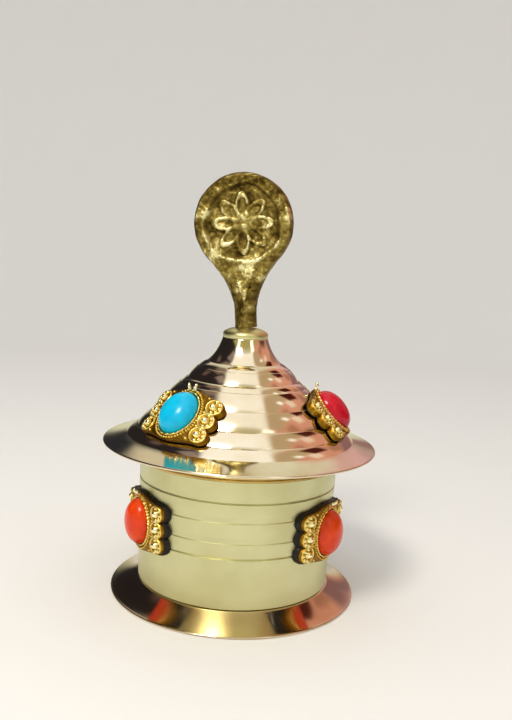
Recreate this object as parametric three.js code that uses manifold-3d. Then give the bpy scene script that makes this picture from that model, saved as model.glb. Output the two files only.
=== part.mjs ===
// Table prayer wheel: a brass drum that turns on a spindle above a spun base, under a stepped
// cone roof that lifts off so that the paper roll can be put in. Millimetres, +Z up.
// The origin is the middle of the underside, on the spin axis, and the front looks along -Y.
import * as THREE from "three";
import { mergeVertices } from "three/addons/utils/BufferGeometryUtils.js";
import Module from "manifold-3d";

const wasm = await Module();
wasm.setup();

// ---- Driving dimensions ------------------------------------------------------------------

const GAP = 0.3; // between pieces that touch
const RUNNING_GAP = 0.35; // between the still base and the turning drum

const DRUM_RADIUS = 23.0; // at the mouth
const DRUM_TAPER = 0.7; // how much less the radius is at the foot
const DRUM_HEIGHT = 34.4;
const DRUM_WALL = 0.7;
const DRUM_LINES = [10.9, 14.5, 19.0, 23.0]; // turned lines, above the drum's foot
const LINE_WIDTH = 0.4;
const LINE_DEPTH = 0.15;

const BASE_FLANGE = 6.3; // how far the dish reaches past the drum's foot
const BASE_HEIGHT = 3.15;
const BASE_SHEET = 0.7;
const BASE_EDGE = 0.5; // height of the rolled rim
const BASE_PLATE_THICKNESS = 0.8;
const BASE_PLATE_MARGIN = 3.8; // from the dish's rim in to the plate's edge

const SPINDLE_RADIUS = 1.5;
const SPINDLE_FLANGE_RADIUS = 4.5;
const SPINDLE_FLANGE = 1.0;
const WASHER_THICKNESS = 0.6;
const BASE_NUT_FLATS = 7.0;
const BASE_NUT_HEIGHT = 1.8;
const TOP_NUT_FLATS = 5.5;
const TOP_NUT_HEIGHT = 2.0;
const WASHER_MARGIN = 0.4; // past the corner of the nut that it lies under

const FLOOR_THICKNESS = 0.8;
const BUSH_WALL = 0.8;
const BUSH_FLANGE = 0.6;
const BUSH_SLEEVE = 3.2;
const CORE_WALL = 0.7;
const HEADROOM = 6.65; // from the spindle's top up to the drum's mouth
const SCROLL_CLEARANCE = 2.8; // round the paper roll, for the fingers
const SCROLL_END_MARGIN = 0.5; // core left bare past the paper's upper edge
const BAND_THICKNESS = 0.4;
const BAND_WIDTH = 1.6;
const BAND_INSET = 4.0; // from each end of the roll to the middle of its band

const SKIRT_LAP = 6.4; // how far the skirt reaches down past the drum's mouth
const SKIRT_WALL = 0.6;
const SKIRT_SLIP = 0.3;
const SKIRT_BEAD = 0.35;

const ROOF_SHEET = 0.7;
const BRIM_OVERHANG = 7.6; // past the skirt
const BRIM_WIDTH = 5.3; // the flare, from the brim's edge to the foot of the cone
const BRIM_RISE = 1.6;
const CONE_RISE = 16.9; // from the foot of the cone to the foot of the neck
const NECK_FOOT_RADIUS = 8.6;
const NECK_TOP_RADIUS = 5.2;
const NECK_RISE = 5.6;
// Where each tier of the cone ends: its share of the way in, and its share of the way up.
const TIERS = [
  [0.13, 0.112],
  [0.295, 0.278],
  [0.472, 0.491],
  [0.659, 0.695],
  [0.753, 0.769],
  [0.881, 0.923],
];
const TIER_STEP = 0.2; // how far each tier stands in from the one below it

const COLLAR_HEIGHT = 1.9;
const COLLAR_EDGE = 0.5; // upright edge under the dome
const COLLAR_TOP_RADIUS = 2.9;
const TAIL_RADIUS = 1.6; // the finial's threaded tail
const FINIAL_NUT_FLATS = 5.5;
const FINIAL_NUT_HEIGHT = 2.2;
const TAIL_END = 0.8; // past the nut

const STEM_RADIUS = 2.5; // half the stem's width
const STEM_LENGTH = 3.4;
const DISC_RADIUS = 11.4;
const DISC_RISE = 23.2; // from the stem's foot to the disc's centre
const FINIAL_THICKNESS = 4.4;
const FINIAL_BEVEL = 0.5;
const FACE_RADIUS = 8.7; // the sunk face inside the disc's border
const FACE_DEPTH = 0.6;
const PETALS = 8;
const PETAL_LENGTH = 4.6;
const PETAL_WIDTH = 2.4;
const ROSETTE_EYE = 1.5;
const RELIEF = 0.45; // how far the petals stand out of the sunk face
const FINIAL_LEAN = THREE.MathUtils.degToRad(4.5); // the hand-set finial leans to the left
const FINIAL_TURN = THREE.MathUtils.degToRad(-8);

const STONE_WIDTH = 8.0;
const STONE_LENGTH = 9.8;
const STONE_HEIGHT = 3.7;
const SETTING_HALF_WIDTH = 9.2;
const SETTING_CROWN = 6.4; // from the middle to the top of the arched edge
const LOBE_RADIUS = 1.95;
const LOBE_SPACING = 3.5;
const SETTING_PLATE = 0.6;
const BEZEL_WALL = 0.8;
const BEZEL_HEIGHT = 1.5; // from the plate's back
const PAD_MARGIN = 0.25; // how far the pad shows round its setting
const PAD_FACE = 0.7; // from the brass to the pad's flat face, at its middle
const STONES_A_TIER = 3;
const DRUM_STONE_RISE = 14.8; // above the drum's foot
const DRUM_STONE_START = -61.5; // degrees round from the front
const ROOF_STONE_RISE = 6.2; // above the foot of the cone
const ROOF_STONE_START = -39;

const ROUND = 40; // facets round a large spun piece, a multiple of four
const SMALL_ROUND = 20;
const EDGE_STEPS = 3; // points along each curve of a setting's edge

// ---- Derived places ----------------------------------------------------------------------

const drumFoot = BASE_HEIGHT + RUNNING_GAP;
const drumTop = drumFoot + DRUM_HEIGHT;
const drumFootRadius = DRUM_RADIUS - DRUM_TAPER;
const baseRadius = drumFootRadius + BASE_FLANGE;
const boreRadius = SPINDLE_RADIUS + GAP;

// Heights of the pieces on the spindle: up from the base's plate, and down from its top.
const flangeFoot = BASE_PLATE_THICKNESS + GAP;
const baseNutFoot = BASE_HEIGHT + GAP;
const thrustFoot = baseNutFoot + BASE_NUT_HEIGHT + GAP;
const bushFoot = thrustFoot + WASHER_THICKNESS + GAP;
const floorFoot = bushFoot + BUSH_FLANGE + GAP;
const coreFoot = floorFoot + FLOOR_THICKNESS + GAP;
const spindleTop = drumTop - HEADROOM;
const topNutFoot = spindleTop - GAP - TOP_NUT_HEIGHT;
const topWasherFoot = topNutFoot - GAP - WASHER_THICKNESS;
const bushTop = topWasherFoot - GAP;
const coreTop = bushTop - BUSH_FLANGE - GAP;

const bushRadius = boreRadius + BUSH_WALL;
const coreBore = bushRadius + GAP;
const coreRadius = coreBore + CORE_WALL;
const scrollTop = coreTop - SCROLL_END_MARGIN;
const scrollRadius = drumFootRadius - DRUM_WALL - SCROLL_CLEARANCE;

const skirtBore = DRUM_RADIUS + SKIRT_SLIP;
const skirtRadius = skirtBore + SKIRT_WALL;
const skirtFoot = drumTop - SKIRT_LAP;
const brimRadius = skirtRadius + BRIM_OVERHANG;
const coneRadius = brimRadius - BRIM_WIDTH;

// ---- Helpers -----------------------------------------------------------------------------

const point = (r, z) => new THREE.Vector2(r, z);

/** A profile's points moved outwards along their normals; the profile runs down the outside. */
function offsetProfile(points, distance) {
  return points.map((p, i) => {
    const before = points[Math.max(i - 1, 0)];
    const after = points[Math.min(i + 1, points.length - 1)];
    const along = after.clone().sub(before).normalize();
    return point(p.x - along.y * distance, p.y + along.x * distance);
  });
}

/** The radius of a profile that runs down the outside, at a height. */
function radiusAt(profile, height) {
  const i = profile.findIndex((p, k) => k > 0 && p.y <= height && profile[k - 1].y > height);
  const [above, below] = [profile[i - 1], profile[i]];
  return THREE.MathUtils.mapLinear(height, above.y, below.y, above.x, below.x);
}

/** The height of a profile that runs down and outwards, at a radius. */
function heightAt(profile, radius) {
  const i = profile.findIndex((p, k) => k > 0 && p.x >= radius && profile[k - 1].x < radius);
  const [inner, outer] = [profile[i - 1], profile[i]];
  return THREE.MathUtils.mapLinear(radius, inner.x, outer.x, inner.y, outer.y);
}

/** Spins a profile of (radius, height) about Z; it is on the axis at both ends, or a loop. */
function spin(points, segments = ROUND) {
  const profile = [...points];
  if (profile[0].x > 0) profile.push(profile[0].clone());
  if (THREE.ShapeUtils.area(profile) < 0) profile.reverse();
  return new THREE.LatheGeometry(profile, segments).rotateX(Math.PI / 2);
}

/** A flat ring, or a tube, about Z. */
function ring(inner, outer, foot, top, segments = SMALL_ROUND) {
  return spin([point(inner, foot), point(outer, foot), point(outer, top), point(inner, top)], segments);
}

/** A hexagonal nut about Z, with a round bore. */
function nut(flats, height, foot, bore) {
  const corner = flats / Math.sqrt(3);
  const corners = Array.from({ length: 6 }, (_, i) => {
    const angle = (i * Math.PI) / 3;
    return point(corner * Math.cos(angle), corner * Math.sin(angle));
  });
  const shape = new THREE.Shape(corners);
  shape.holes.push(new THREE.Path().absarc(0, 0, bore, 0, 2 * Math.PI));
  const curveSegments = SMALL_ROUND / 2;
  return new THREE.ExtrudeGeometry(shape, { depth: height, bevelEnabled: false, curveSegments })
    .translate(0, 0, foot);
}

/** A closed geometry as a solid that can be joined and cut. */
function toSolid(geometry) {
  const bare = geometry.clone();
  bare.deleteAttribute("normal");
  bare.deleteAttribute("uv");
  const merged = mergeVertices(bare);
  return new wasm.Manifold(new wasm.Mesh({
    numProp: 3,
    vertProperties: merged.attributes.position.array,
    triVerts: new Uint32Array(merged.index.array),
  }));
}

/** A solid back as a geometry. */
function toGeometry(solid) {
  const { vertProperties, triVerts } = solid.getMesh();
  const geometry = new THREE.BufferGeometry();
  geometry.setAttribute("position", new THREE.BufferAttribute(vertProperties, 3));
  geometry.setIndex(new THREE.BufferAttribute(triVerts, 1));
  geometry.computeVertexNormals();
  return geometry;
}

const join = (...parts) => parts.map(toSolid).reduce((sum, part) => sum.add(part));

// ---- Materials ---------------------------------------------------------------------------

const metal = (color, roughness) => () =>
  new THREE.MeshStandardMaterial({ color, roughness, metalness: 1 });
const plain = (color, roughness) => () =>
  new THREE.MeshStandardMaterial({ color, roughness, metalness: 0 });

const polishedBrass = metal(0xd8bd86, 0.12);
const satinBrass = metal(0xc9c491, 0.38);
const castBrass = metal(0x8a7536, 0.5);
const giltMetal = metal(0xe6c45a, 0.25);
const steel = metal(0xb4b6b8, 0.35);
const paper = plain(0xe9dcc0, 0.9);
const ribbon = plain(0xb5322a, 0.8);
const bedding = plain(0x14100e, 0.45);
const turquoise = plain(0x00aedd, 0.25);
const coral = plain(0xe8431a, 0.25);
const red = plain(0xc4152e, 0.2);

const model = new THREE.Group();

/** Adds one named piece to a group, the model's own unless another is given. */
function addPiece(name, geometry, material, group = model) {
  const piece = new THREE.Mesh(geometry, material());
  piece.name = name;
  group.add(piece);
}

// ---- Base --------------------------------------------------------------------------------

/** The dish: a flat hub, a shallow cone out to the rim, and a rolled edge, of even sheet. */
function baseDish() {
  const hubRadius = drumFootRadius + GAP / 2;
  const halfWay = (hubRadius + baseRadius) / 2;
  const hollow = (BASE_HEIGHT - BASE_EDGE) / 12; // how far the cone sags half way out
  const upper = [
    point(boreRadius, BASE_HEIGHT),
    point(hubRadius, BASE_HEIGHT),
    point(halfWay, (BASE_HEIGHT + BASE_EDGE) / 2 - hollow),
    point(baseRadius - BASE_EDGE / 2, BASE_EDGE),
    point(baseRadius, BASE_EDGE / 2),
  ];
  const lower = [
    point(baseRadius - BASE_EDGE / 4, 0),
    point(baseRadius - 2 * BASE_SHEET, 0),
    point(halfWay, (BASE_HEIGHT + BASE_EDGE) / 2 - hollow - BASE_SHEET),
    point(hubRadius - BASE_SHEET / 2, BASE_HEIGHT - BASE_SHEET),
    point(boreRadius, BASE_HEIGHT - BASE_SHEET),
  ];
  return spin([...upper, ...lower]);
}

/** The spindle: a rod with a riveted flange at its foot and a chamfered top. */
function spindle() {
  const chamfer = SPINDLE_RADIUS / 4;
  return spin([
    point(0, flangeFoot),
    point(SPINDLE_FLANGE_RADIUS, flangeFoot),
    point(SPINDLE_FLANGE_RADIUS, flangeFoot + SPINDLE_FLANGE),
    point(SPINDLE_RADIUS, flangeFoot + SPINDLE_FLANGE),
    point(SPINDLE_RADIUS, spindleTop - chamfer),
    point(SPINDLE_RADIUS - chamfer, spindleTop),
    point(0, spindleTop),
  ], SMALL_ROUND);
}

/** A washer that lies with a nut, a little wider than the nut's corners. */
function washer(nutFlats, foot) {
  const radius = nutFlats / Math.sqrt(3) + WASHER_MARGIN;
  return ring(boreRadius, radius, foot, foot + WASHER_THICKNESS);
}

function addBase() {
  const plateRadius = baseRadius - BASE_PLATE_MARGIN;
  const plate = [
    point(0, 0),
    point(plateRadius, 0),
    point(plateRadius, BASE_PLATE_THICKNESS),
    point(0, BASE_PLATE_THICKNESS),
  ];
  addPiece("base_dish", baseDish(), polishedBrass);
  addPiece("base_plate", spin(plate), satinBrass);
  addPiece("spindle", spindle(), steel);
  addPiece("base_nut", nut(BASE_NUT_FLATS, BASE_NUT_HEIGHT, baseNutFoot, boreRadius), steel);
  addPiece("thrust_washer", washer(BASE_NUT_FLATS, thrustFoot), steel);
  addPiece("top_washer", washer(TOP_NUT_FLATS, topWasherFoot), steel);
  addPiece("top_nut", nut(TOP_NUT_FLATS, TOP_NUT_HEIGHT, topNutFoot, boreRadius), steel);
}

// ---- Wheel -------------------------------------------------------------------------------

/** The drum's outside from its mouth to its foot, widening a little upwards. */
function drumOutside() {
  const radius = (z) =>
    THREE.MathUtils.mapLinear(z, drumFoot, drumTop, drumFootRadius, DRUM_RADIUS);
  const lines = DRUM_LINES.map((rise) => drumFoot + rise).reverse();
  const grooves = lines.flatMap((z) => [
    point(radius(z), z + LINE_WIDTH / 2),
    point(radius(z) - LINE_DEPTH, z),
    point(radius(z), z - LINE_WIDTH / 2),
  ]);
  return [point(DRUM_RADIUS, drumTop), ...grooves, point(drumFootRadius, drumFoot)];
}

/** A bush with a flange: a sleeve from the flange's outer face to the far end of its sleeve. */
function bush(flangeFace, flangeBack, sleeveEnd, flangeRadius) {
  return spin([
    point(boreRadius, flangeFace),
    point(flangeRadius, flangeFace),
    point(flangeRadius, flangeBack),
    point(bushRadius, flangeBack),
    point(bushRadius, sleeveEnd),
    point(boreRadius, sleeveEnd),
  ], SMALL_ROUND);
}

function addWheel() {
  const inside = [
    point(drumFootRadius - DRUM_WALL, drumFoot),
    point(DRUM_RADIUS - DRUM_WALL, drumTop),
  ];
  const floorRadius = drumFootRadius - DRUM_WALL - GAP;
  const bushFlangeRadius = coreRadius;
  const bandBore = scrollRadius + GAP;
  const bandRadius = bandBore + BAND_THICKNESS;
  addPiece("drum_shell", spin([...drumOutside(), ...inside]), satinBrass);
  addPiece("drum_floor", ring(coreBore, floorRadius, floorFoot, floorFoot + FLOOR_THICKNESS, ROUND),
    satinBrass);
  addPiece("lower_bush",
    bush(bushFoot, bushFoot + BUSH_FLANGE, coreFoot + BUSH_SLEEVE, bushFlangeRadius), polishedBrass);
  addPiece("upper_bush",
    bush(bushTop, bushTop - BUSH_FLANGE, coreTop - BUSH_SLEEVE, bushFlangeRadius), polishedBrass);
  addPiece("core_tube", ring(coreBore, coreRadius, coreFoot, coreTop), satinBrass);
  addPiece("mantra_scroll", ring(coreRadius + GAP, scrollRadius, coreFoot, scrollTop, ROUND), paper);
  const bands = { scroll_band_lower: coreFoot + BAND_INSET, scroll_band_upper: scrollTop - BAND_INSET };
  for (const [name, middle] of Object.entries(bands)) {
    const foot = middle - BAND_WIDTH / 2;
    addPiece(name, ring(bandBore, bandRadius, foot, foot + BAND_WIDTH, ROUND), ribbon);
  }
}

// ---- Roof --------------------------------------------------------------------------------

/** The roof's outside from the neck's top to the brim's edge. */
function roofOutside(brimHeight) {
  const coneFoot = brimHeight + BRIM_RISE;
  const neckFoot = coneFoot + CONE_RISE;
  const neckTop = neckFoot + NECK_RISE;
  const neck = new THREE.QuadraticBezierCurve(
    point(NECK_TOP_RADIUS, neckTop),
    point(NECK_TOP_RADIUS + 0.3 * (NECK_FOOT_RADIUS - NECK_TOP_RADIUS), neckFoot + 0.35 * NECK_RISE),
    point(NECK_FOOT_RADIUS, neckFoot),
  ).getPoints(3);
  const run = coneRadius - NECK_FOOT_RADIUS;
  const tiers = TIERS.flatMap(([inwards, upwards]) => {
    const edge = point(coneRadius - inwards * run, coneFoot + upwards * CONE_RISE);
    return [edge, point(edge.x - TIER_STEP, edge.y + TIER_STEP / 4)];
  }).reverse();
  const flare = new THREE.QuadraticBezierCurve(
    point(coneRadius, coneFoot),
    point(coneRadius + 0.3 * BRIM_WIDTH, coneFoot - 0.45 * BRIM_RISE),
    point(brimRadius, brimHeight),
  ).getPoints(2);
  return [...neck, ...tiers, ...flare];
}

/** The line that the sheet's inside follows: the neck, the tiers without their steps, the flare. */
function roofInside(outside) {
  const smooth = outside.filter((p, i) => i === 0 || p.y < outside[i - 1].y - TIER_STEP);
  return offsetProfile(smooth, -ROOF_SHEET);
}

/** The brim's height that lets the cone rest on the drum's mouth with the usual gap. */
function brimHeightOnDrum() {
  const trial = roofOutside(0);
  const slope = Math.hypot(CONE_RISE, coneRadius - NECK_FOOT_RADIUS) / (coneRadius - NECK_FOOT_RADIUS);
  return drumTop + GAP * slope - heightAt(roofInside(trial), DRUM_RADIUS);
}

const roofProfile = roofOutside(brimHeightOnDrum());
const roofUnderside = roofInside(roofProfile);
const roofTop = roofProfile[0].y;
const coneFootHeight = roofProfile.at(-1).y + BRIM_RISE;
const tailBore = TAIL_RADIUS + GAP;

/** The shell: a flat top with a hole for the finial's tail, then the outside and the inside. */
function roofShell() {
  const ceiling = roofTop - ROOF_SHEET;
  const top = [point(tailBore, ceiling), point(tailBore, roofTop)];
  const inside = roofUnderside.filter((p) => p.y < ceiling).reverse();
  const underTop = point(radiusAt(roofUnderside, ceiling), ceiling);
  return spin([...top, ...roofProfile, ...inside, underTop]);
}

/** The skirt: a ring with a bead round its lower edge, up to just under the roof. */
function roofSkirt() {
  const top = heightAt(roofUnderside, skirtRadius) - GAP * Math.SQRT2;
  return spin([
    point(skirtBore, skirtFoot),
    point(skirtRadius + SKIRT_BEAD / 2, skirtFoot),
    point(skirtRadius + SKIRT_BEAD, skirtFoot + SKIRT_BEAD),
    point(skirtRadius, skirtFoot + 2 * SKIRT_BEAD),
    point(skirtRadius, top),
    point(skirtBore, top),
  ]);
}

const collarFoot = roofTop + GAP;
const collarTop = collarFoot + COLLAR_HEIGHT;
const stemFoot = collarTop + GAP + STEM_RADIUS * Math.sin(FINIAL_LEAN);
const finialWasherFoot = roofTop - ROOF_SHEET - GAP - WASHER_THICKNESS;
const finialNutFoot = finialWasherFoot - GAP - FINIAL_NUT_HEIGHT;

/** The collar: an upright edge and a quarter-round dome, with a hole for the tail. */
function roofCollar() {
  const domeFoot = collarFoot + COLLAR_EDGE;
  const dome = Array.from({ length: 6 }, (_, i) => {
    const angle = (i / 5) * (Math.PI / 2);
    const reach = NECK_TOP_RADIUS - COLLAR_TOP_RADIUS;
    return point(
      COLLAR_TOP_RADIUS + reach * Math.cos(angle),
      domeFoot + (collarTop - domeFoot) * Math.sin(angle),
    );
  });
  return spin([
    point(tailBore, collarFoot),
    point(NECK_TOP_RADIUS, collarFoot),
    ...dome,
    point(tailBore, collarTop),
  ], SMALL_ROUND);
}

/** The finial's outline, from the foot of its stem: a stem, a web that spreads, and a disc. */
function finialOutline() {
  const meet = THREE.MathUtils.degToRad(48); // below level, where the web meets the disc
  const meetX = DISC_RADIUS * Math.cos(meet);
  const meetZ = DISC_RISE - DISC_RADIUS * Math.sin(meet);
  const spread = meetZ - STEM_LENGTH;
  const waist = STEM_LENGTH + 0.35 * spread;
  const shoulderX = meetX - 0.24 * spread;
  const shoulderZ = meetZ - 0.29 * spread;
  const outline = new THREE.Shape();
  outline.moveTo(-STEM_RADIUS, 0);
  outline.lineTo(STEM_RADIUS, 0);
  outline.lineTo(STEM_RADIUS, STEM_LENGTH);
  outline.bezierCurveTo(STEM_RADIUS, waist, shoulderX, shoulderZ, meetX, meetZ);
  outline.absarc(0, DISC_RISE, DISC_RADIUS, -meet, Math.PI + meet);
  outline.bezierCurveTo(-shoulderX, shoulderZ, -STEM_RADIUS, waist, -STEM_RADIUS, STEM_LENGTH);
  return outline;
}

/** A rosette of petals round an eye, in low relief on the sunk face, for the front. */
function rosette() {
  const faceY = -FINIAL_THICKNESS / 2 + FACE_DEPTH;
  const reach = ROSETTE_EYE + PETAL_LENGTH / 2 - RELIEF;
  const petals = Array.from({ length: PETALS }, (_, i) =>
    new THREE.SphereGeometry(1, 8, 4)
      .scale(PETAL_WIDTH / 2, RELIEF, PETAL_LENGTH / 2)
      .translate(0, 0, reach)
      .rotateY((i * 2 * Math.PI) / PETALS),
  );
  const eye = new THREE.SphereGeometry(1, 12, 4).scale(ROSETTE_EYE, RELIEF, ROSETTE_EYE);
  return [...petals, eye].map((part) => part.translate(0, faceY, DISC_RISE));
}

/** The finial: one casting, leaning on an upright threaded tail. */
function finial() {
  const slab = new THREE.ExtrudeGeometry(finialOutline(), {
    depth: FINIAL_THICKNESS - 2 * FINIAL_BEVEL,
    bevelThickness: FINIAL_BEVEL,
    bevelSize: FINIAL_BEVEL,
    bevelOffset: -FINIAL_BEVEL,
    bevelSegments: 1,
    curveSegments: SMALL_ROUND / 2,
  }).translate(0, 0, -FINIAL_THICKNESS / 2 + FINIAL_BEVEL).rotateX(Math.PI / 2);
  const sunk = (side) =>
    new THREE.CylinderGeometry(FACE_RADIUS, FACE_RADIUS, 2 * FACE_DEPTH, ROUND)
      .translate(0, (side * FINIAL_THICKNESS) / 2, DISC_RISE);
  const tailLength = stemFoot + STEM_RADIUS - (finialNutFoot - TAIL_END);
  const tail = new THREE.CylinderGeometry(TAIL_RADIUS, TAIL_RADIUS, tailLength, SMALL_ROUND)
    .rotateX(Math.PI / 2)
    .translate(0, 0, stemFoot + STEM_RADIUS - tailLength / 2);
  const cast = [-1, 1].reduce((body, side) => body.subtract(toSolid(sunk(side))), toSolid(slab));
  const raised = toGeometry(cast.add(join(...rosette())));
  raised.rotateZ(FINIAL_TURN).rotateY(-FINIAL_LEAN).translate(0, 0, stemFoot);
  return toGeometry(join(raised, tail));
}

function addRoof() {
  const washerRadius = NECK_TOP_RADIUS - ROOF_SHEET - GAP;
  const washerTop = finialWasherFoot + WASHER_THICKNESS;
  addPiece("roof_shell", roofShell(), polishedBrass);
  addPiece("roof_skirt", roofSkirt(), polishedBrass);
  addPiece("roof_collar", roofCollar(), polishedBrass);
  addPiece("finial", finial(), castBrass);
  addPiece("finial_washer", ring(tailBore, washerRadius, finialWasherFoot, washerTop), steel);
  addPiece("finial_nut", nut(FINIAL_NUT_FLATS, FINIAL_NUT_HEIGHT, finialNutFoot, tailBore), steel);
}

// ---- Stones and their settings -----------------------------------------------------------
// Each is made flat, x across, y up and z out of the brass, and its group stands it in place.

/** The scalloped outline: three lobes down each side, and an arched top and bottom edge. */
function settingOutline(margin) {
  const lobe = LOBE_RADIUS + margin;
  const side = SETTING_HALF_WIDTH - LOBE_RADIUS;
  const valley = Math.acos(LOBE_SPACING / 2 / lobe); // where neighbouring lobes meet
  const bend = Math.PI / 2 - valley;
  const outline = new THREE.Shape();
  const crown = SETTING_CROWN + margin;
  for (const way of [1, -1]) {
    const turn = way > 0 ? 0 : Math.PI;
    for (const row of [-1, 0, 1]) {
      const from = turn + (row < 0 ? -Math.PI / 2 : -bend);
      const to = turn + (row > 0 ? Math.PI / 2 : bend);
      outline.absarc(way * side, way * row * LOBE_SPACING, lobe, from, to);
    }
    const end = LOBE_SPACING + lobe;
    outline.bezierCurveTo(way * side * 0.6, way * end, way * side * 0.4, way * crown, 0, way * crown);
    outline.bezierCurveTo(-way * side * 0.4, way * crown, -way * side * 0.6, way * end,
      -way * side, way * end);
  }
  return outline;
}

/** The stone's oval, grown all round, with as many sides as the stone has. */
function oval(grow) {
  const [across, along] = [STONE_WIDTH / 2 + grow, STONE_LENGTH / 2 + grow];
  return new THREE.EllipseCurve(0, 0, across, along).getPoints(SMALL_ROUND).slice(1);
}

/** A flat plate of an outline, from one height to another. */
function slab(outline, foot, top) {
  const settings = { depth: top - foot, bevelEnabled: false, curveSegments: EDGE_STEPS };
  return new THREE.ExtrudeGeometry(outline, settings).translate(0, 0, foot);
}

const settingFoot = PAD_FACE + GAP;

/** The setting: a scalloped plate with a hole for the stone and a bezel wall round it. */
function setting() {
  const plate = settingOutline(0);
  plate.holes.push(new THREE.Path(oval(GAP + BEZEL_WALL / 2)));
  const wall = new THREE.Shape(oval(GAP + BEZEL_WALL));
  wall.holes.push(new THREE.Path(oval(GAP)));
  return toGeometry(join(
    slab(plate, settingFoot, settingFoot + SETTING_PLATE),
    slab(wall, settingFoot, settingFoot + BEZEL_HEIGHT),
  ));
}

/** A cabochon: a flat back, a short girdle and a dome, stretched to an oval. */
function stone() {
  const radius = STONE_WIDTH / 2;
  const girdle = STONE_HEIGHT / 8;
  const dome = Array.from({ length: 5 }, (_, i) => {
    const angle = (i / 4) * (Math.PI / 2);
    return point(
      radius * Math.cos(angle),
      settingFoot + girdle + (STONE_HEIGHT - girdle) * Math.sin(angle),
    );
  });
  dome.at(-1).x = 0;
  return spin([point(0, settingFoot), point(radius, settingFoot), ...dome], SMALL_ROUND)
    .scale(1, STONE_LENGTH / STONE_WIDTH, 1);
}

/** The bedding pad: flat in front, and cut behind to follow the brass with the usual gap. */
function pad(place, brass) {
  const depth = 2 * SETTING_CROWN; // deep enough to meet the brass all over
  const block = toSolid(slab(settingOutline(PAD_MARGIN), PAD_FACE - depth / 3, PAD_FACE));
  const placed = toSolid(toGeometry(block).applyMatrix4(place));
  const cut = placed.subtract(brass);
  return toGeometry(cut).applyMatrix4(place.clone().invert());
}

/** The solid that a pad's back is cut with: all inside a profile, grown by the gap. */
function brassSolid(profile) {
  const grown = offsetProfile(profile, GAP);
  return toSolid(spin([
    point(0, grown[0].y),
    ...grown,
    point(0, grown.at(-1).y),
  ]));
}

/** Stands a setting on a spun surface, touching it at equal distances above and below. */
function standOn(profile, height) {
  const reach = SETTING_CROWN / 2;
  const upper = point(radiusAt(profile, height + reach), height + reach);
  const lower = point(radiusAt(profile, height - reach), height - reach);
  const middle = upper.clone().add(lower).divideScalar(2);
  const along = upper.clone().sub(lower).normalize();
  const frame = new THREE.Group();
  frame.position.set(0, -middle.x, middle.y);
  frame.rotation.x = Math.atan2(along.y, -along.x);
  return frame;
}

/** Three stones at equal angles round a spun surface, numbered from the front's left. */
function addStones(tier, profile, height, start, stoneMaterials) {
  const brass = brassSolid(profile);
  for (let i = 0; i < STONES_A_TIER; i += 1) {
    const turn = new THREE.Group();
    turn.rotation.z = THREE.MathUtils.degToRad(start + (i * 360) / STONES_A_TIER);
    const frame = standOn(profile, height);
    frame.updateMatrix();
    turn.add(frame);
    model.add(turn);
    addPiece(`${tier}_pad_${i + 1}`, pad(frame.matrix, brass), bedding, frame);
    addPiece(`${tier}_setting_${i + 1}`, setting(), giltMetal, frame);
    addPiece(`${tier}_stone_${i + 1}`, stone(), stoneMaterials[i], frame);
  }
}

// ---- The object --------------------------------------------------------------------------

addBase();
addWheel();
addRoof();
addStones("drum", drumOutside(), drumFoot + DRUM_STONE_RISE, DRUM_STONE_START, [coral, coral, coral]);
addStones("roof", roofProfile, coneFootHeight + ROOF_STONE_RISE, ROOF_STONE_START,
  [turquoise, red, turquoise]);

export default model;
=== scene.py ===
"""Table prayer wheel: its visible surfaces and finishes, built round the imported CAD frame.

Sizes are in millimetres and turn to metres as each mesh is made. +Z is up and the front
looks along -Y. Azimuths are degrees round from the front, towards +X.
"""

import logging
import math
from collections.abc import Iterable, Sequence
from dataclasses import dataclass, field
from enum import Enum
from functools import cache

import bpy
import numpy as np
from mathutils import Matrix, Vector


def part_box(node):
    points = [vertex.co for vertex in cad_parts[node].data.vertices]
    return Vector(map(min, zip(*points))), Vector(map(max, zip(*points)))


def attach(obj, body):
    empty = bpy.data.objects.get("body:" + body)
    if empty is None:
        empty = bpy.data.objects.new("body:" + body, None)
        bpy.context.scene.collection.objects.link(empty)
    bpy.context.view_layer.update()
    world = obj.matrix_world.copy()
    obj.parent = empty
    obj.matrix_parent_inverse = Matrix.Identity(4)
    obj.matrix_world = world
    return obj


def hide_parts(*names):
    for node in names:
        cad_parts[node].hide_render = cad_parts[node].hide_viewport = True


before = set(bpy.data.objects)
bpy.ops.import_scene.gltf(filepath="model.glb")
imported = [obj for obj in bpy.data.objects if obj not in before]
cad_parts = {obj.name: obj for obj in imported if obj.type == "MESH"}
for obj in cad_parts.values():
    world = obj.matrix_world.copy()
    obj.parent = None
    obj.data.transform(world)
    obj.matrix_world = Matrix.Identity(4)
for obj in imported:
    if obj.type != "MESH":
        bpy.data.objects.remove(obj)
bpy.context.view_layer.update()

Array = np.ndarray
Value = float | int | tuple | bpy.types.NodeSocket | bpy.types.Node

LOG = logging.getLogger("prayer_wheel")
MM = 0.001
ROUND = 256  # facets round a large spun piece
FINE = 96  # facets round a small turned piece
WELD = 1e-7  # metres; corners closer than this are one corner
MOST = {1: 0.3, 2: 0.7}  # the input range of a Map Range node that holds most of a noise


# ---- Surfaces ------------------------------------------------------------------------------


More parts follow.
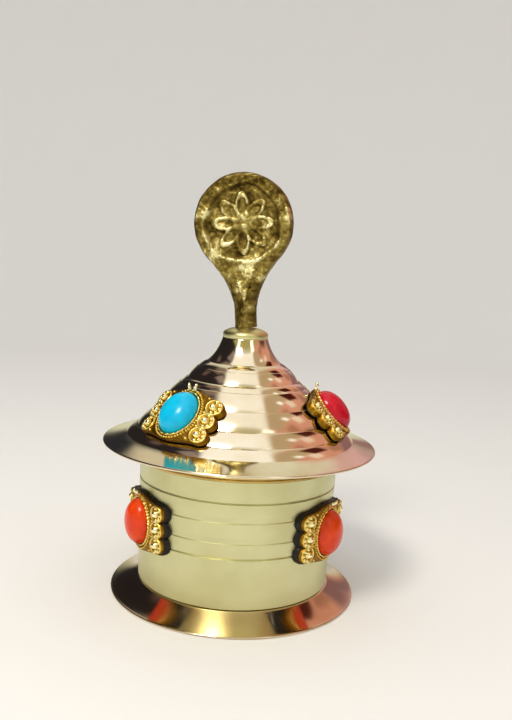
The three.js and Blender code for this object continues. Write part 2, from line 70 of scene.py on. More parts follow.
@dataclass
class Grid:
    """A surface as rows and columns of points, which may close on themselves either way.

    Where a row or column shrinks to one place, its corners are welded to a pole.
    """

    points: Array
    rows_close: bool = True
    columns_close: bool = True
    relief: Array | None = None

    def quads(self) -> Array:
        """Return each cell's four corners, as indices of the flattened points.

        Returns:
            Four indices for each cell.
        """
        rows, columns = self.points.shape[:2]
        index = np.arange(rows * columns).reshape(rows, columns)
        if self.rows_close:
            index = np.vstack([index, index[:1]])
        if self.columns_close:
            index = np.hstack([index, index[:, :1]])
        corners = [index[:-1, :-1], index[1:, :-1], index[1:, 1:], index[:-1, 1:]]
        return np.stack(corners, axis=-1).reshape(-1, 4)

    def relief_values(self) -> Array:
        """Return how high each point stands in the relief, from 0 to 1.

        Returns:
            One value for each point, all 1 where there is no relief.
        """
        if self.relief is None:
            return np.ones(self.points.shape[0] * self.points.shape[1])
        return np.clip(self.relief, 0, 1).ravel()


def circle(count: int) -> Array:
    """Return angles spread evenly round a turn, as a column."""
    return np.linspace(0, 2 * np.pi, count, endpoint=False)[:, None]


def round_axis(r: Array, u: Array, z: Array) -> Array:
    """Return the points (r cos u, r sin u, z)."""
    return np.stack([r * np.cos(u), r * np.sin(u), z + 0 * u], axis=-1)


def weld(points: Array, quads: Array) -> tuple[Array, Array, Array, Array]:
    """Join corners that share a place, and drop the sides that shrink to nothing.

    Args:
        points: Corners in metres, one row each.
        quads: Faces as four indices each.

    Returns:
        The kept corners, the faces that still have four sides, those left with three, and
        which of the old corners each kept one was.
    """
    key = np.round(points / WELD).astype(np.int64)
    _, first, where = np.unique(key, axis=0, return_index=True, return_inverse=True)
    quads = where.reshape(-1)[quads]
    repeated = quads == np.roll(quads, 1, axis=1)
    lost = repeated.sum(axis=1)
    whole, bent = quads[lost == 0], quads[lost == 1]
    triangles = bent[~repeated[lost == 1]].reshape(-1, 3)
    return points[first], whole, triangles, first


def signed_volume(points: Array, quads: Array, triangles: Array) -> float:
    """Return the volume inside closed faces, as the sum of their cones to the origin.

    It is negative where the faces point inwards.

    Args:
        points: Corners, one row each.
        quads: Faces as four indices each.
        triangles: Faces as three indices each.

    Returns:
        The volume.
    """
    cones = np.vstack([quads[:, [0, 1, 2]], quads[:, [0, 2, 3]], triangles])
    a, b, c = points[cones[:, 0]], points[cones[:, 1]], points[cones[:, 2]]
    return float(np.einsum("ij,ij->", a, np.cross(b, c)) / 6)


def add_object(name: str, data: bpy.types.ID) -> bpy.types.Object:
    """Make an object and link it into the scene.

    Args:
        name: The object's name.
        data: Its mesh, light or camera.

    Returns:
        The object.
    """
    made = bpy.data.objects.new(name, data)
    bpy.context.scene.collection.objects.link(made)
    return made


def skin(name: str, grids: Iterable[Grid], crease: float) -> bpy.types.Object:
    """Make one object from closed grids, with its faces pointing outwards.

    Args:
        name: The object's name.
        grids: Surfaces in millimetres, each closed by itself.
        crease: Faces that meet at a sharper angle than this, in degrees, keep a sharp edge.

    Returns:
        The object, with its place in its mesh and the relief as a point attribute.
    """
    corners, faces, reliefs, count = [], [], [], 0
    for grid in grids:
        points, quads, triangles, kept = weld(grid.points.reshape(-1, 3) * MM, grid.quads())
        if signed_volume(points, quads, triangles) < 0:
            quads, triangles = quads[:, ::-1], triangles[:, ::-1]
        corners.append(points)
        faces += (quads + count).tolist() + (triangles + count).tolist()
        reliefs.append(grid.relief_values()[kept])
        count += len(points)
    mesh = bpy.data.meshes.new(name)
    mesh.from_pydata(np.vstack(corners).tolist(), [], faces)
    mesh.polygons.foreach_set("use_smooth", np.ones(len(faces), dtype=bool))
    mesh.attributes.new("relief", "FLOAT", "POINT").data.foreach_set(
        "value", np.concatenate(reliefs).astype(np.float32))
    mesh.set_sharp_from_angle(angle=math.radians(crease))
    mesh.update()
    return add_object(name, mesh)


def blunt(corners: Array, size: float | Array, closed: bool = True, steps: int = 4) -> Array:
    """Round a profile's corners with short arcs.

    Each corner P becomes the curve (1-t)^2 A + 2t(1-t) P + t^2 B, where A and B are the
    places that far back and on along its two sides, or half of a side that is short.

    Args:
        corners: Points of (radius, height).
        size: How far each corner is cut back, one value or one for each corner.
        closed: Whether the profile is a loop. An open one keeps its end points.
        steps: Points along each arc.

    Returns:
        The rounded profile.
    """
    before, after = np.roll(corners, 1, axis=0) - corners, np.roll(corners, -1, axis=0) - corners
    cut = np.broadcast_to(np.asarray(size, float), len(corners)).copy()
    if not closed:
        cut[[0, -1]] = 0
    ends = []
    for side in (before, after):
        length = np.linalg.norm(side, axis=1)
        share = np.minimum(cut / np.maximum(length, 1e-9), 0.48)
        ends.append(corners + side * share[:, None])
    t = np.linspace(0, 1, steps)[None, :, None]
    arcs = (1 - t) ** 2 * ends[0][:, None] + 2 * t * (1 - t) * corners[:, None]
    arcs = (arcs + t**2 * ends[1][:, None]).reshape(-1, 2)
    moved = np.linalg.norm(np.diff(arcs, axis=0), axis=1) > 1e-6
    return arcs[np.concatenate([[True], moved])]


def turned(profile: Array, facets: int = ROUND, wobble: float = 0.0) -> Grid:
    """Spin a profile of (radius, height) about Z.

    A point goes to (r cos u, r sin u, z). A wobble adds slow waves to the radius, the sum of
    sines of two and of five turns that drift with height, as hand spinning leaves.

    Args:
        profile: A loop, or a line from the axis to the axis.
        facets: Steps round the axis.
        wobble: Height of the waves.

    Returns:
        The closed surface.
    """
    u = circle(facets)
    r, z = profile[None, :, 0], profile[None, :, 1]
    wave = np.sin(2 * u + z / 4) + 0.5 * np.sin(5 * u - z / 2.5)
    r = r + wobble * wave * np.clip(r / 6, 0, 1)
    return Grid(round_axis(r, u, z), columns_close=profile[0, 0] > 0)


def ring_profile(inner: float, outer: float, foot: float, top: float) -> Array:
    """Return the four corners of a flat ring or a tube."""
    return np.array([[inner, foot], [outer, foot], [outer, top], [inner, top]])


def bezier(points: Array, steps: int) -> Array:
    """Return points along a Bezier curve of any order, each a blend by de Casteljau's rule.

    Args:
        points: The control points.
        steps: Points along the curve.

    Returns:
        The curve's points.
    """
    t = np.linspace(0, 1, steps)[:, None, None]
    level = np.repeat(np.asarray(points, float)[None], steps, axis=0)
    while level.shape[1] > 1:
        level = (1 - t) * level[:, :-1] + t * level[:, 1:]
    return level[:, 0]


def arc(centre: tuple[float, float], radius: float, start: float, end: float,
        steps: int) -> Array:
    """Return points round a circle from one angle to another, in radians."""
    angle = np.linspace(start, end, steps)
    return np.stack([centre[0] + radius * np.cos(angle), centre[1] + radius * np.sin(angle)], -1)


def smooth(value: Array, low: float, high: float) -> Array:
    """Rise from 0 at one value to 1 at another, level at both, as 3t^2 - 2t^3."""
    t = np.clip((value - low) / (high - low), 0, 1)
    return t * t * (3 - 2 * t)


def lumps(x: Array, y: Array, size: float, seed: int) -> Array:
    """Return smooth random lumps between -1 and 1.

    A lattice of random heights, one lump size apart, is blended by the smooth rise above.

    Args:
        x: First coordinate of each place.
        y: Second coordinate of each place.
        size: Distance between lumps.
        seed: Which lattice of heights to take.

    Returns:
        A height for each place.
    """
    lattice = np.random.default_rng(seed).uniform(-1, 1, (64, 64))
    i, j = np.floor(x / size).astype(int), np.floor(y / size).astype(int)
    s, t = smooth(x / size - i, 0, 1), smooth(y / size - j, 0, 1)
    near = lattice[i % 64, j % 64] * (1 - s) + lattice[(i + 1) % 64, j % 64] * s
    far = lattice[i % 64, (j + 1) % 64] * (1 - s) + lattice[(i + 1) % 64, (j + 1) % 64] * s
    return near * (1 - t) + far * t


def thread(radius: float, foot: float, top: float, pitch: float, depth: float) -> Grid:
    """Make a screw thread on a rod about Z, closed at both ends.

    The radius is the rod's less a rounded V, whose phase is the height over the pitch less
    the turn round the axis. The V fades out over one pitch at each end.

    Args:
        radius: The rod's radius over the thread.
        foot: Height of its lower end.
        top: Height of its upper end.
        pitch: Height between turns.
        depth: How deep the V is cut.

    Returns:
        The closed surface.
    """
    u = circle(FINE // 2)
    z = np.linspace(foot, top, max(8, int((top - foot) / pitch * 8)))[None]
    phase = z / pitch - u / (2 * np.pi)
    fade = smooth(z, foot, foot + pitch) * (1 - smooth(z, top - pitch, top))
    cut = (0.5 + 0.5 * np.cos(2 * np.pi * phase)) ** 0.8 * fade
    chamfer = depth * (smooth(z, top - pitch / 2, top) + 1 - smooth(z, foot, foot + pitch / 2))
    r = radius - depth * cut - chamfer
    body = round_axis(r, u, z)
    ends = [np.broadcast_to([0, 0, height], (len(u), 1, 3)) for height in (foot, top)]
    return Grid(np.concatenate([ends[0], body, ends[1]], axis=1), columns_close=False)


def hexagon_nut(flats: float, foot: float, top: float, bore: float) -> Grid:
    """Make a hexagonal nut about Z with chamfered corners and a bore with a lead-in.

    The outside radius is the flat's half width over the cosine of the angle from the middle
    of its flat, held to a cone at both ends, which cuts the corners' chamfers.

    Args:
        flats: Width across the flats.
        foot: Height of its lower face.
        top: Height of its upper face.
        bore: Radius of the hole.

    Returns:
        The closed surface.
    """
    u = circle(FINE)
    half, corner = flats / 2, flats / math.sqrt(3)
    flat = half / np.cos((u + np.pi / 6) % (np.pi / 3) - np.pi / 6)
    t = np.linspace(0, 1, 14)[None]
    z = foot + (top - foot) * t
    cone = half + (corner - half) * np.minimum(1, np.minimum(t, 1 - t) * 7 + 0.1)
    outside = np.minimum(flat, cone)
    inside = bore + 0.15 * (1 - np.minimum(1, np.minimum(t, 1 - t) * 8)) + 0 * u
    r = np.concatenate([outside, inside[:, ::-1]], axis=1)
    return Grid(round_axis(r, u, np.concatenate([z, z[:, ::-1]], axis=1)))


def tube(path: Array, radii: Array, sides: int = 12) -> Grid:
    """Carry a circle of changing radius along a path, with a pole at each end.

    Each ring lies across the path, in the two directions square to it.

    Args:
        path: Points along the middle.
        radii: The circle's radius at each point.
        sides: Steps round each circle.

    Returns:
        The closed surface.
    """
    along = np.gradient(path, axis=0)
    along /= np.linalg.norm(along, axis=1, keepdims=True)
    side = np.cross(along, [1.0, 0.0, 0.0])
    side /= np.linalg.norm(side, axis=1, keepdims=True)
    over = np.cross(along, side)
    u = circle(sides)[None]
    ring = np.cos(u) * side[:, None] + np.sin(u) * over[:, None]
    points = path[:, None] + radii[:, None, None] * ring
    return Grid(points, rows_close=False)


@dataclass(frozen=True)
class Extent:
    """How far a CAD node reaches, in millimetres."""

    radius: float
    foot: float
    top: float

    @classmethod
    def of(cls, node: str) -> "Extent":
        """Read a spun node's reach from the frame."""
        low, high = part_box(node)
        return cls((high[0] - low[0]) / 2 / MM, low[2] / MM, high[2] / MM)


# ---- Finishes ------------------------------------------------------------------------------


def linear(colour: str) -> tuple[float, float, float, float]:
    """Turn an sRGB hex value, such as c9c491, to a linear colour.

    Args:
        colour: Six hex digits.

    Returns:
        Red, green, blue and full opacity.
    """
    share = np.array([int(colour[i:i + 2], 16) / 255 for i in (0, 2, 4)])
    value = np.where(share <= 0.04045, share / 12.92, ((share + 0.055) / 1.055) ** 2.4)
    return (*(float(v) for v in value), 1.0)


def add_node(tree: bpy.types.NodeTree, kind: str, values: dict[str | int, Value] | None = None,
             stops: Sequence[tuple[float, str]] = (), **settings: object) -> bpy.types.Node:
    """Add a node with its settings, and set or link its inputs.

    Args:
        tree: The node tree.
        kind: The node's type, without its ShaderNode prefix.
        values: Input names or numbers, each with a value or with what feeds it, a socket or
            a node whose first output it is.
        stops: A colour ramp's stops as (place, hex colour), at least two of them.
        settings: The node's own settings.

    Returns:
        The node.
    """
    made = tree.nodes.new("ShaderNode" + kind)
    for key, value in settings.items():
        setattr(made, key, value)
    for key, value in (values or {}).items():
        source = value.outputs[0] if isinstance(value, bpy.types.Node) else value
        if isinstance(source, bpy.types.NodeSocket):
            tree.links.new(source, made.inputs[key])
        else:
            made.inputs[key].default_value = source
    if stops:
        elements = made.color_ramp.elements
        for _ in stops[2:]:
            elements.new(0.5)
        for element, (place, colour) in zip(elements, stops):
            element.position = place
            element.color = linear(colour)
    return made


class Finish:
    """A way that a surface is made and finished, with its slot and its material's name."""

    slot = ""
    label = ""

    def shade(self, tree: bpy.types.NodeTree) -> dict[str | int, Value]:
        """Add the finish's nodes and return what goes in the shader's own sockets."""
        raise NotImplementedError


@cache
def material_of(finish: Finish) -> bpy.types.Material:
    """Make a finish's material once.

    Args:
        finish: The finish to make.

    Returns:
        The material, one for each finish.
    """
    material = bpy.data.materials.new(finish.label)
    material.use_nodes = True
    tree = material.node_tree
    tree.nodes.clear()
    shader = add_node(tree, "BsdfPrincipled", finish.shade(tree))
    add_node(tree, "OutputMaterial", {"Surface": shader})
    return material


def own_place(tree: bpy.types.NodeTree) -> bpy.types.NodeSocket:
    """Return the socket of a piece's own coordinates, in metres."""
    return add_node(tree, "TexCoord").outputs["Object"]


def lathe_place(tree: bpy.types.NodeTree) -> bpy.types.Node:
    """Return coordinates that are the same all round the axis: radius, nothing, height.

    Args:
        tree: The material's node tree.

    Returns:
        The node that gives those coordinates.
    """
    parts = add_node(tree, "SeparateXYZ", {0: own_place(tree)})
    squares = [add_node(tree, "Math", {0: part, 1: part}, operation="MULTIPLY")
               for part in parts.outputs[:2]]
    total = add_node(tree, "Math", {0: squares[0], 1: squares[1]}, operation="ADD")
    radius = add_node(tree, "Math", {0: total}, operation="SQRT")
    return add_node(tree, "CombineXYZ", {0: radius, 2: parts.outputs[2]})


def worn_relief(tree: bpy.types.NodeTree, wear: bpy.types.Node, share: float
                ) -> bpy.types.Node:
    """Return the height in the relief, raised and lowered by a share of some noise.

    Args:
        tree: The material's node tree.
        wear: The noise, whose middle is a half.
        share: How much of the noise is added.

    Returns:
        The node that gives that height.
    """
    shifted = add_node(tree, "Math", {0: wear, 1: -0.5}, operation="ADD")
    height = add_node(tree, "Attribute", attribute_name="relief").outputs["Fac"]
    return add_node(tree, "Math", {0: shifted, 1: share, 2: height}, operation="MULTIPLY_ADD")


@dataclass(frozen=True)
class PolishedBrass(Finish):
    """Pale brass sheet, spun on a lathe and buffed.

    It mirrors the room, with faint rings where the tool ran and soft hazy patches where it
    has been handled.
    """

    slot = "polished_brass"
    label: str = "polished_brass"
    bright: str = "f3ead4"
    dull: str = "e9dcc0"
    haze: float = 0.1

    def shade(self, tree: bpy.types.NodeTree) -> dict[str | int, Value]:
        """Add spinning rings 0.5 mm apart and hazy patches 9 mm across.

        Args:
            tree: The material's node tree.

        Returns:
            The shader's inputs by name, each a value or what feeds it.
        """
        rings = add_node(tree, "TexNoise", {
            "Vector": lathe_place(tree), "Scale": 1 / (0.5 * MM), "Detail": 3})
        patches = add_node(tree, "TexNoise", {
            "Vector": own_place(tree), "Scale": 1 / (9 * MM), "Detail": 4})
        return {
            "Base Color": add_node(tree, "ValToRGB", {0: patches},
                                   [(0.35, self.dull), (0.65, self.bright)]),
            "Metallic": 1.0,
            "Roughness": add_node(tree, "MapRange", {
                0: patches, **MOST, 3: self.haze * 1.5, 4: self.haze * 0.75}),
            "Normal": add_node(tree, "Bump", {
                "Height": rings, "Distance": 0.006 * MM, "Strength": 0.35}),
        }


@dataclass(frozen=True)
class SatinBrass(Finish):
    """Brass tube turned to an even satin with fine emery.

    The lines run round it, finer than can be seen, so they are drawn 0.3 mm apart. They
    spread each highlight up and down, and leave a soft greenish gold.
    """

    slot = "satin_brass"
    label: str = "satin_brass"
    bright: str = "dad8aa"
    dull: str = "cbc896"
    matt: float = 0.36

    def shade(self, tree: bpy.types.NodeTree) -> dict[str | int, Value]:
        """Add turned lines 0.3 mm apart over a tone that drifts over 14 mm.

        Args:
            tree: The material's node tree.

        Returns:
            The shader's inputs by name, each a value or what feeds it.
        """
        lines = add_node(tree, "TexNoise", {
            "Vector": lathe_place(tree), "Scale": 1 / (0.3 * MM), "Detail": 3})
        drift = add_node(tree, "TexNoise", {
            "Vector": own_place(tree), "Scale": 1 / (14 * MM), "Detail": 3})
        return {
            "Base Color": add_node(tree, "ValToRGB", {0: drift},
                                   [(0.35, self.dull), (0.65, self.bright)]),
            "Metallic": 1.0,
            "Roughness": add_node(tree, "MapRange", {
                0: lines, **MOST, 3: self.matt * 1.15, 4: self.matt * 0.85}),
            "Normal": add_node(tree, "Bump", {
                "Height": lines, "Distance": 0.02 * MM, "Strength": 0.5}),
        }


@dataclass(frozen=True)
class CastBrass(Finish):
    """Sand-cast brass, left as it came and darkened with age.

    High places are rubbed bright, hollows hold brown tarnish, and the skin is pitted by
    grains of the mould's sand, about 0.35 mm. The relief it reads also holds painted
    highlights on the border's lower lip and on the web's facet.
    """

    slot = "cast_brass"
    label: str = "cast_brass"

    def shade(self, tree: bpy.types.NodeTree) -> dict[str | int, Value]:
        """Colour by relief and blotches, with sand pits over coarser lumps.

        Args:
            tree: The material's node tree.

        Returns:
            The shader's inputs by name, each a value or what feeds it.
        """
        place = own_place(tree)
        blotches = add_node(tree, "TexNoise", {
            "Vector": place, "Scale": 1 / (2.2 * MM), "Detail": 5})
        sand = add_node(tree, "TexNoise", {
            "Vector": place, "Scale": 1 / (0.35 * MM), "Detail": 3})
        # The relief carries wear and, on the finial, painted highlights on the lower lip and
        # facet.
        rubbed = worn_relief(tree, blotches, 0.9)
        coarse = add_node(tree, "Bump", {
            "Height": blotches, "Distance": 0.15 * MM, "Strength": 0.6})
        return {
            "Base Color": add_node(tree, "ValToRGB", {0: rubbed}, [
                (0.0, "433615"), (0.33, "74622e"), (0.62, "9d8d4e"), (0.92, "f2e8b0")]),
            "Metallic": 1.0,
            "Roughness": add_node(tree, "MapRange", {
                0: rubbed, 1: 0.15, 2: 0.9, 3: 0.66, 4: 0.36}),
            "Normal": add_node(tree, "Bump", {
                "Height": sand, "Distance": 0.1 * MM, "Strength": 0.8, "Normal": coarse}),
        }


@dataclass(frozen=True)
class GiltStamping(Finish):
    """Thin stamped brass with a bright gold wash.

    The tops shine yellow and the hollows keep a brown patina that the wash never reached.
    """

    slot = "gilt"
    label: str = "gilt_stamping"

    def shade(self, tree: bpy.types.NodeTree) -> dict[str | int, Value]:
        """Colour by relief, with wear that varies over 0.7 mm.

        Args:
            tree: The material's node tree.

        Returns:
            The shader's inputs by name, each a value or what feeds it.
        """
        wear = add_node(tree, "TexNoise", {
            "Vector": own_place(tree), "Scale": 1 / (0.7 * MM), "Detail": 3})
        rubbed = worn_relief(tree, wear, 0.5)
        return {
            "Base Color": add_node(tree, "ValToRGB", {0: rubbed}, [
                (0.02, "8c6418"), (0.2, "dcb848"), (0.45, "faea98"), (0.95, "fffcd4")]),
            "Metallic": 1.0,
            "Roughness": add_node(tree, "MapRange", {
                0: rubbed, 1: 0.1, 2: 0.9, 3: 0.42, 4: 0.16}),
            "Normal": add_node(tree, "Bump", {
                "Height": wear, "Distance": 0.04 * MM, "Strength": 0.4}),
        }


class StoneColour(Enum):
    """The colours of the cabochons, each a pale and a deep tone."""

    CORAL = ("ea4608", "d63404")
    TURQUOISE = ("00c4ee", "00acdc")
    RED = ("ce0628", "ae021e")


@dataclass(frozen=True)
class Cabochon(Finish):
    """A moulded resin stone with a polished dome.

    The colour is nearly even, with slow clouds a few millimetres across, and the dome
    carries clean highlights.
    """

    colour: StoneColour = StoneColour.CORAL

    @property
    def label(self) -> str:
        """Name the material for its colour."""
        return "cabochon_" + self.colour.name.lower()

    @property
    def slot(self) -> str:
        """Name the slot for its colour."""
        return self.colour.name.lower() + "_stone"

    def shade(self, tree: bpy.types.NodeTree) -> dict[str | int, Value]:
        """Add clouds 3.5 mm across and a faint orange peel to the polish.

        Args:
            tree: The material's node tree.

        Returns:
            The shader's inputs by name, each a value or what feeds it.
        """
        place = own_place(tree)
        pale, deep = self.colour.value
        clouds = add_node(tree, "TexNoise", {
            "Vector": place, "Scale": 1 / (3.5 * MM), "Detail": 3})
        peel = add_node(tree, "TexNoise", {
            "Vector": place, "Scale": 1 / (1.4 * MM), "Detail": 1})
        return {
            "Base Color": add_node(tree, "ValToRGB", {0: clouds}, [(0.35, deep), (0.65, pale)]),
            "Roughness": add_node(tree, "MapRange", {0: peel, **MOST, 3: 0.16, 4: 0.24}),
            "IOR": 1.54,
            "Specular IOR Level": 0.32,
            "Normal": add_node(tree, "Bump", {
                "Height": peel, "Distance": 0.02 * MM, "Strength": 0.4}),
        }


@dataclass(frozen=True)
class NearBlackPad(Finish):
    """A near-black pad that fills the space under a setting, on the brass: glossy in places, dull
    in others.
    """

    slot = "bedding"
    label: str = "near_black_pad"

    def shade(self, tree: bpy.types.NodeTree) -> dict[str | int, Value]:
        """Add marks about 1.2 mm across to its colour, gloss and surface.

        Args:
            tree: The material's node tree.

        Returns:
            The shader's inputs by name, each a value or what feeds it.
        """
        marks = add_node(tree, "TexNoise", {
            "Vector": own_place(tree), "Scale": 1 / (1.2 * MM), "Detail": 4})
        return {
            "Base Color": add_node(tree, "ValToRGB", {0: marks},
                                   [(0.35, "0b0806"), (0.7, "1a120c")]),
            "Roughness": add_node(tree, "MapRange", {0: marks, **MOST, 3: 0.3, 4: 0.55}),
            "IOR": 1.5,
            "Specular IOR Level": 0.35,
            "Normal": add_node(tree, "Bump", {
                "Height": marks, "Distance": 0.12 * MM, "Strength": 0.5}),
        }


@dataclass(frozen=True)
class ZincSteel(Finish):
    """Zinc-plated steel, grey with a slight bloom of crystals about 0.8 mm across."""

    slot = "steel"
    label: str = "zinc_steel"

    def shade(self, tree: bpy.types.NodeTree) -> dict[str | int, Value]:
        """Add the bloom to colour and gloss, and light tool marks.

        Args:
            tree: The material's node tree.

        Returns:
            The shader's inputs by name, each a value or what feeds it.
        """
        bloom = add_node(tree, "TexNoise", {
            "Vector": own_place(tree), "Scale": 1 / (0.8 * MM), "Detail": 4})
        marks = add_node(tree, "TexNoise", {
            "Vector": lathe_place(tree), "Scale": 1 / (0.2 * MM), "Detail": 2})
        return {
            "Base Color": add_node(tree, "ValToRGB", {0: bloom},
                                   [(0.35, "9c9fa2"), (0.65, "c4c6c8")]),
            "Metallic": 1.0,
            "Roughness": add_node(tree, "MapRange", {0: bloom, **MOST, 3: 0.24, 4: 0.44}),
            "Normal": add_node(tree, "Bump", {
                "Height": marks, "Distance": 0.01 * MM, "Strength": 0.4}),
        }


@dataclass(frozen=True)
class ScrollPaper(Finish):
    """Long-fibred handmade paper, rolled tight: cream, darker along the ends of its turns."""

    slot = "scroll_paper"
    label: str = "scroll_paper"
    turn: float = 0.45

    def shade(self, tree: bpy.types.NodeTree) -> dict[str | int, Value]:
        """Add fibres about 1 mm long and a tone for each turn of the roll.

        Args:
            tree: The material's node tree.

        Returns:
            The shader's inputs by name, each a value or what feeds it.
        """
        fibres = add_node(tree, "TexNoise", {
            "Vector": own_place(tree), "Scale": 1 / (1.0 * MM), "Detail": 6})
        turns = add_node(tree, "TexNoise", {
            "Vector": lathe_place(tree), "Scale": 1 / (self.turn * MM), "Detail": 1})
        both = add_node(tree, "Math", {0: fibres, 1: turns}, operation="ADD")
        tone = add_node(tree, "MapRange", {0: both, 1: 0.7, 2: 1.3, 3: 0, 4: 1})
        return {
            "Base Color": add_node(tree, "ValToRGB", {0: tone}, [
                (0.1, "b89f72"), (0.5, "e4d4b0"), (0.9, "f0e6cc")]),
            "Roughness": add_node(tree, "MapRange", {0: fibres, **MOST, 3: 0.8, 4: 0.95}),
            "IOR": 1.45,
            "Normal": add_node(tree, "Bump", {
                "Height": both, "Distance": 0.05 * MM, "Strength": 0.5}),
        }


@dataclass(frozen=True)
class WovenRibbon(Finish):
    """Red cotton tape, woven with ribs 0.4 mm apart across its width."""

    slot = "ribbon"
    label: str = "woven_ribbon"
    rib: float = 0.4
    threads: float = 300.0

    def shade(self, tree: bpy.types.NodeTree) -> dict[str | int, Value]:
        """Cross ribs round the roll with threads along it, as the product of two sines.

        Args:
            tree: The material's node tree.

        Returns:
            The shader's inputs by name, each a value or what feeds it.
        """
        x, y, z = add_node(tree, "SeparateXYZ", {0: own_place(tree)}).outputs
        turn = add_node(tree, "Math", {0: y, 1: x}, operation="ARCTAN2")
        ribs = add_node(tree, "Math", {0: turn, 1: self.threads}, operation="MULTIPLY")
        rows = add_node(tree, "Math", {0: z, 1: 2 * math.pi / (self.rib * MM)},
                        operation="MULTIPLY")
        waves = [add_node(tree, "Math", {0: value}, operation="SINE") for value in (ribs, rows)]
        weave = add_node(tree, "Math", {0: waves[0], 1: waves[1]}, operation="MULTIPLY")
        cloth = add_node(tree, "MapRange", {0: weave, 1: -1, 2: 1, 3: 0, 4: 1})
        dye = add_node(tree, "TexNoise", {
            "Vector": own_place(tree), "Scale": 1 / (2 * MM), "Detail": 3})
        return {
            "Base Color": add_node(tree, "ValToRGB", {0: cloth},
                                   [(0.1, "8e2019"), (0.9, "c43c30")]),
            "Roughness": add_node(tree, "MapRange", {0: dye, **MOST, 3: 0.75, 4: 0.9}),
            "Sheen Weight": 0.3,
            "IOR": 1.45,
            "Normal": add_node(tree, "Bump", {
                "Height": cloth, "Distance": 0.06 * MM, "Strength": 0.6}),
        }


# ---- Sub-assemblies ------------------------------------------------------------------------


@dataclass
class SubAssembly:
    """A group of pieces with one job. Its pieces stand for CAD nodes and ride on bodies."""

    pieces: dict[str, bpy.types.Object] = field(default_factory=dict, init=False)

    def add(self, name: str, grids: Grid | list[Grid], body: str, *nodes: str,
            crease: float = 35) -> None:
        """Make a piece that rides on a body and stands for CAD nodes.

        Args:
            name: The piece's name.
            grids: Its closed surfaces.
            body: The body that it rides on.
            nodes: The CAD nodes that it stands for.
            crease: The angle past which an edge stays sharp, in degrees.
        """
        piece = skin(name, grids if isinstance(grids, list) else [grids], crease)
        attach(piece, body)
        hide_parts(*nodes)
        self.pieces[name] = piece
        LOG.info("%s: %d faces, on %s", name, len(piece.data.polygons), body)

    def finish(self, finish: Finish, *names: str) -> None:
        """Give the named pieces a finish.

        Args:
            finish: The finish to give.
            names: Names of the pieces.
        """
        for name in names:
            piece = self.pieces[name]
            piece.data.materials.append(material_of(finish))

    def build(self) -> None:
        """Make the meshes."""
        raise NotImplementedError

    def dress(self) -> None:
        """Give each piece its finish."""
        raise NotImplementedError


@dataclass
class Base(SubAssembly):
    """The spun dish that the wheel stands on, with the plate that closes its underside."""

    sheet: float = 0.7
    bore: float = 1.8
    rim: float = 0.5
    sag: float = 0.22
    hub_radius: float = 22.45
    inset: float = 0.03
    inward: float = 0.12
    waviness: float = 0.012

    def build(self) -> None:
        """Spin the dish and the plate."""
        dish, plate = Extent.of("base_dish"), Extent.of("base_plate")
        edge = dish.radius - self.inset
        slope = np.array([[self.hub_radius, dish.top], [edge - self.rim / 2, self.rim]])
        t = np.linspace(0, 1, 24)[:, None]
        cone = slope[0] * (1 - t) + slope[1] * t
        cone[:, 1] -= 4 * self.sag * (t * (1 - t))[:, 0]  # a shallow hollow half way out
        inner = np.maximum(cone[::-1] - [self.inward, self.sheet], [0, 0])
        inner = inner[inner[:, 0] < edge - 2 * self.sheet]
        under, over = [self.bore, dish.top - self.sheet], [self.bore, dish.top]
        hub = blunt(np.array([under, over, cone[0]]), [0, 0.1, 0], closed=False)
        roll = arc((edge - self.rim / 2, self.rim / 2), self.rim / 2, np.pi / 2, -np.pi / 2, 12)
        profile = np.vstack([hub, cone[1:-1], roll, inner])
        self.add("spun_dish", turned(profile, wobble=self.waviness), "base", "base_dish")
        thin = ring_profile(0, plate.radius, plate.foot, plate.top)
        self.add("closing_plate", turned(blunt(thin, 0.15, closed=False)), "base", "base_plate")

    def dress(self) -> None:
        """Polish the dish and leave the plate satin."""
        self.finish(PolishedBrass("base_brass", "e2d2b8", "d2bf9f"), "spun_dish")
        self.finish(SatinBrass(), "closing_plate")


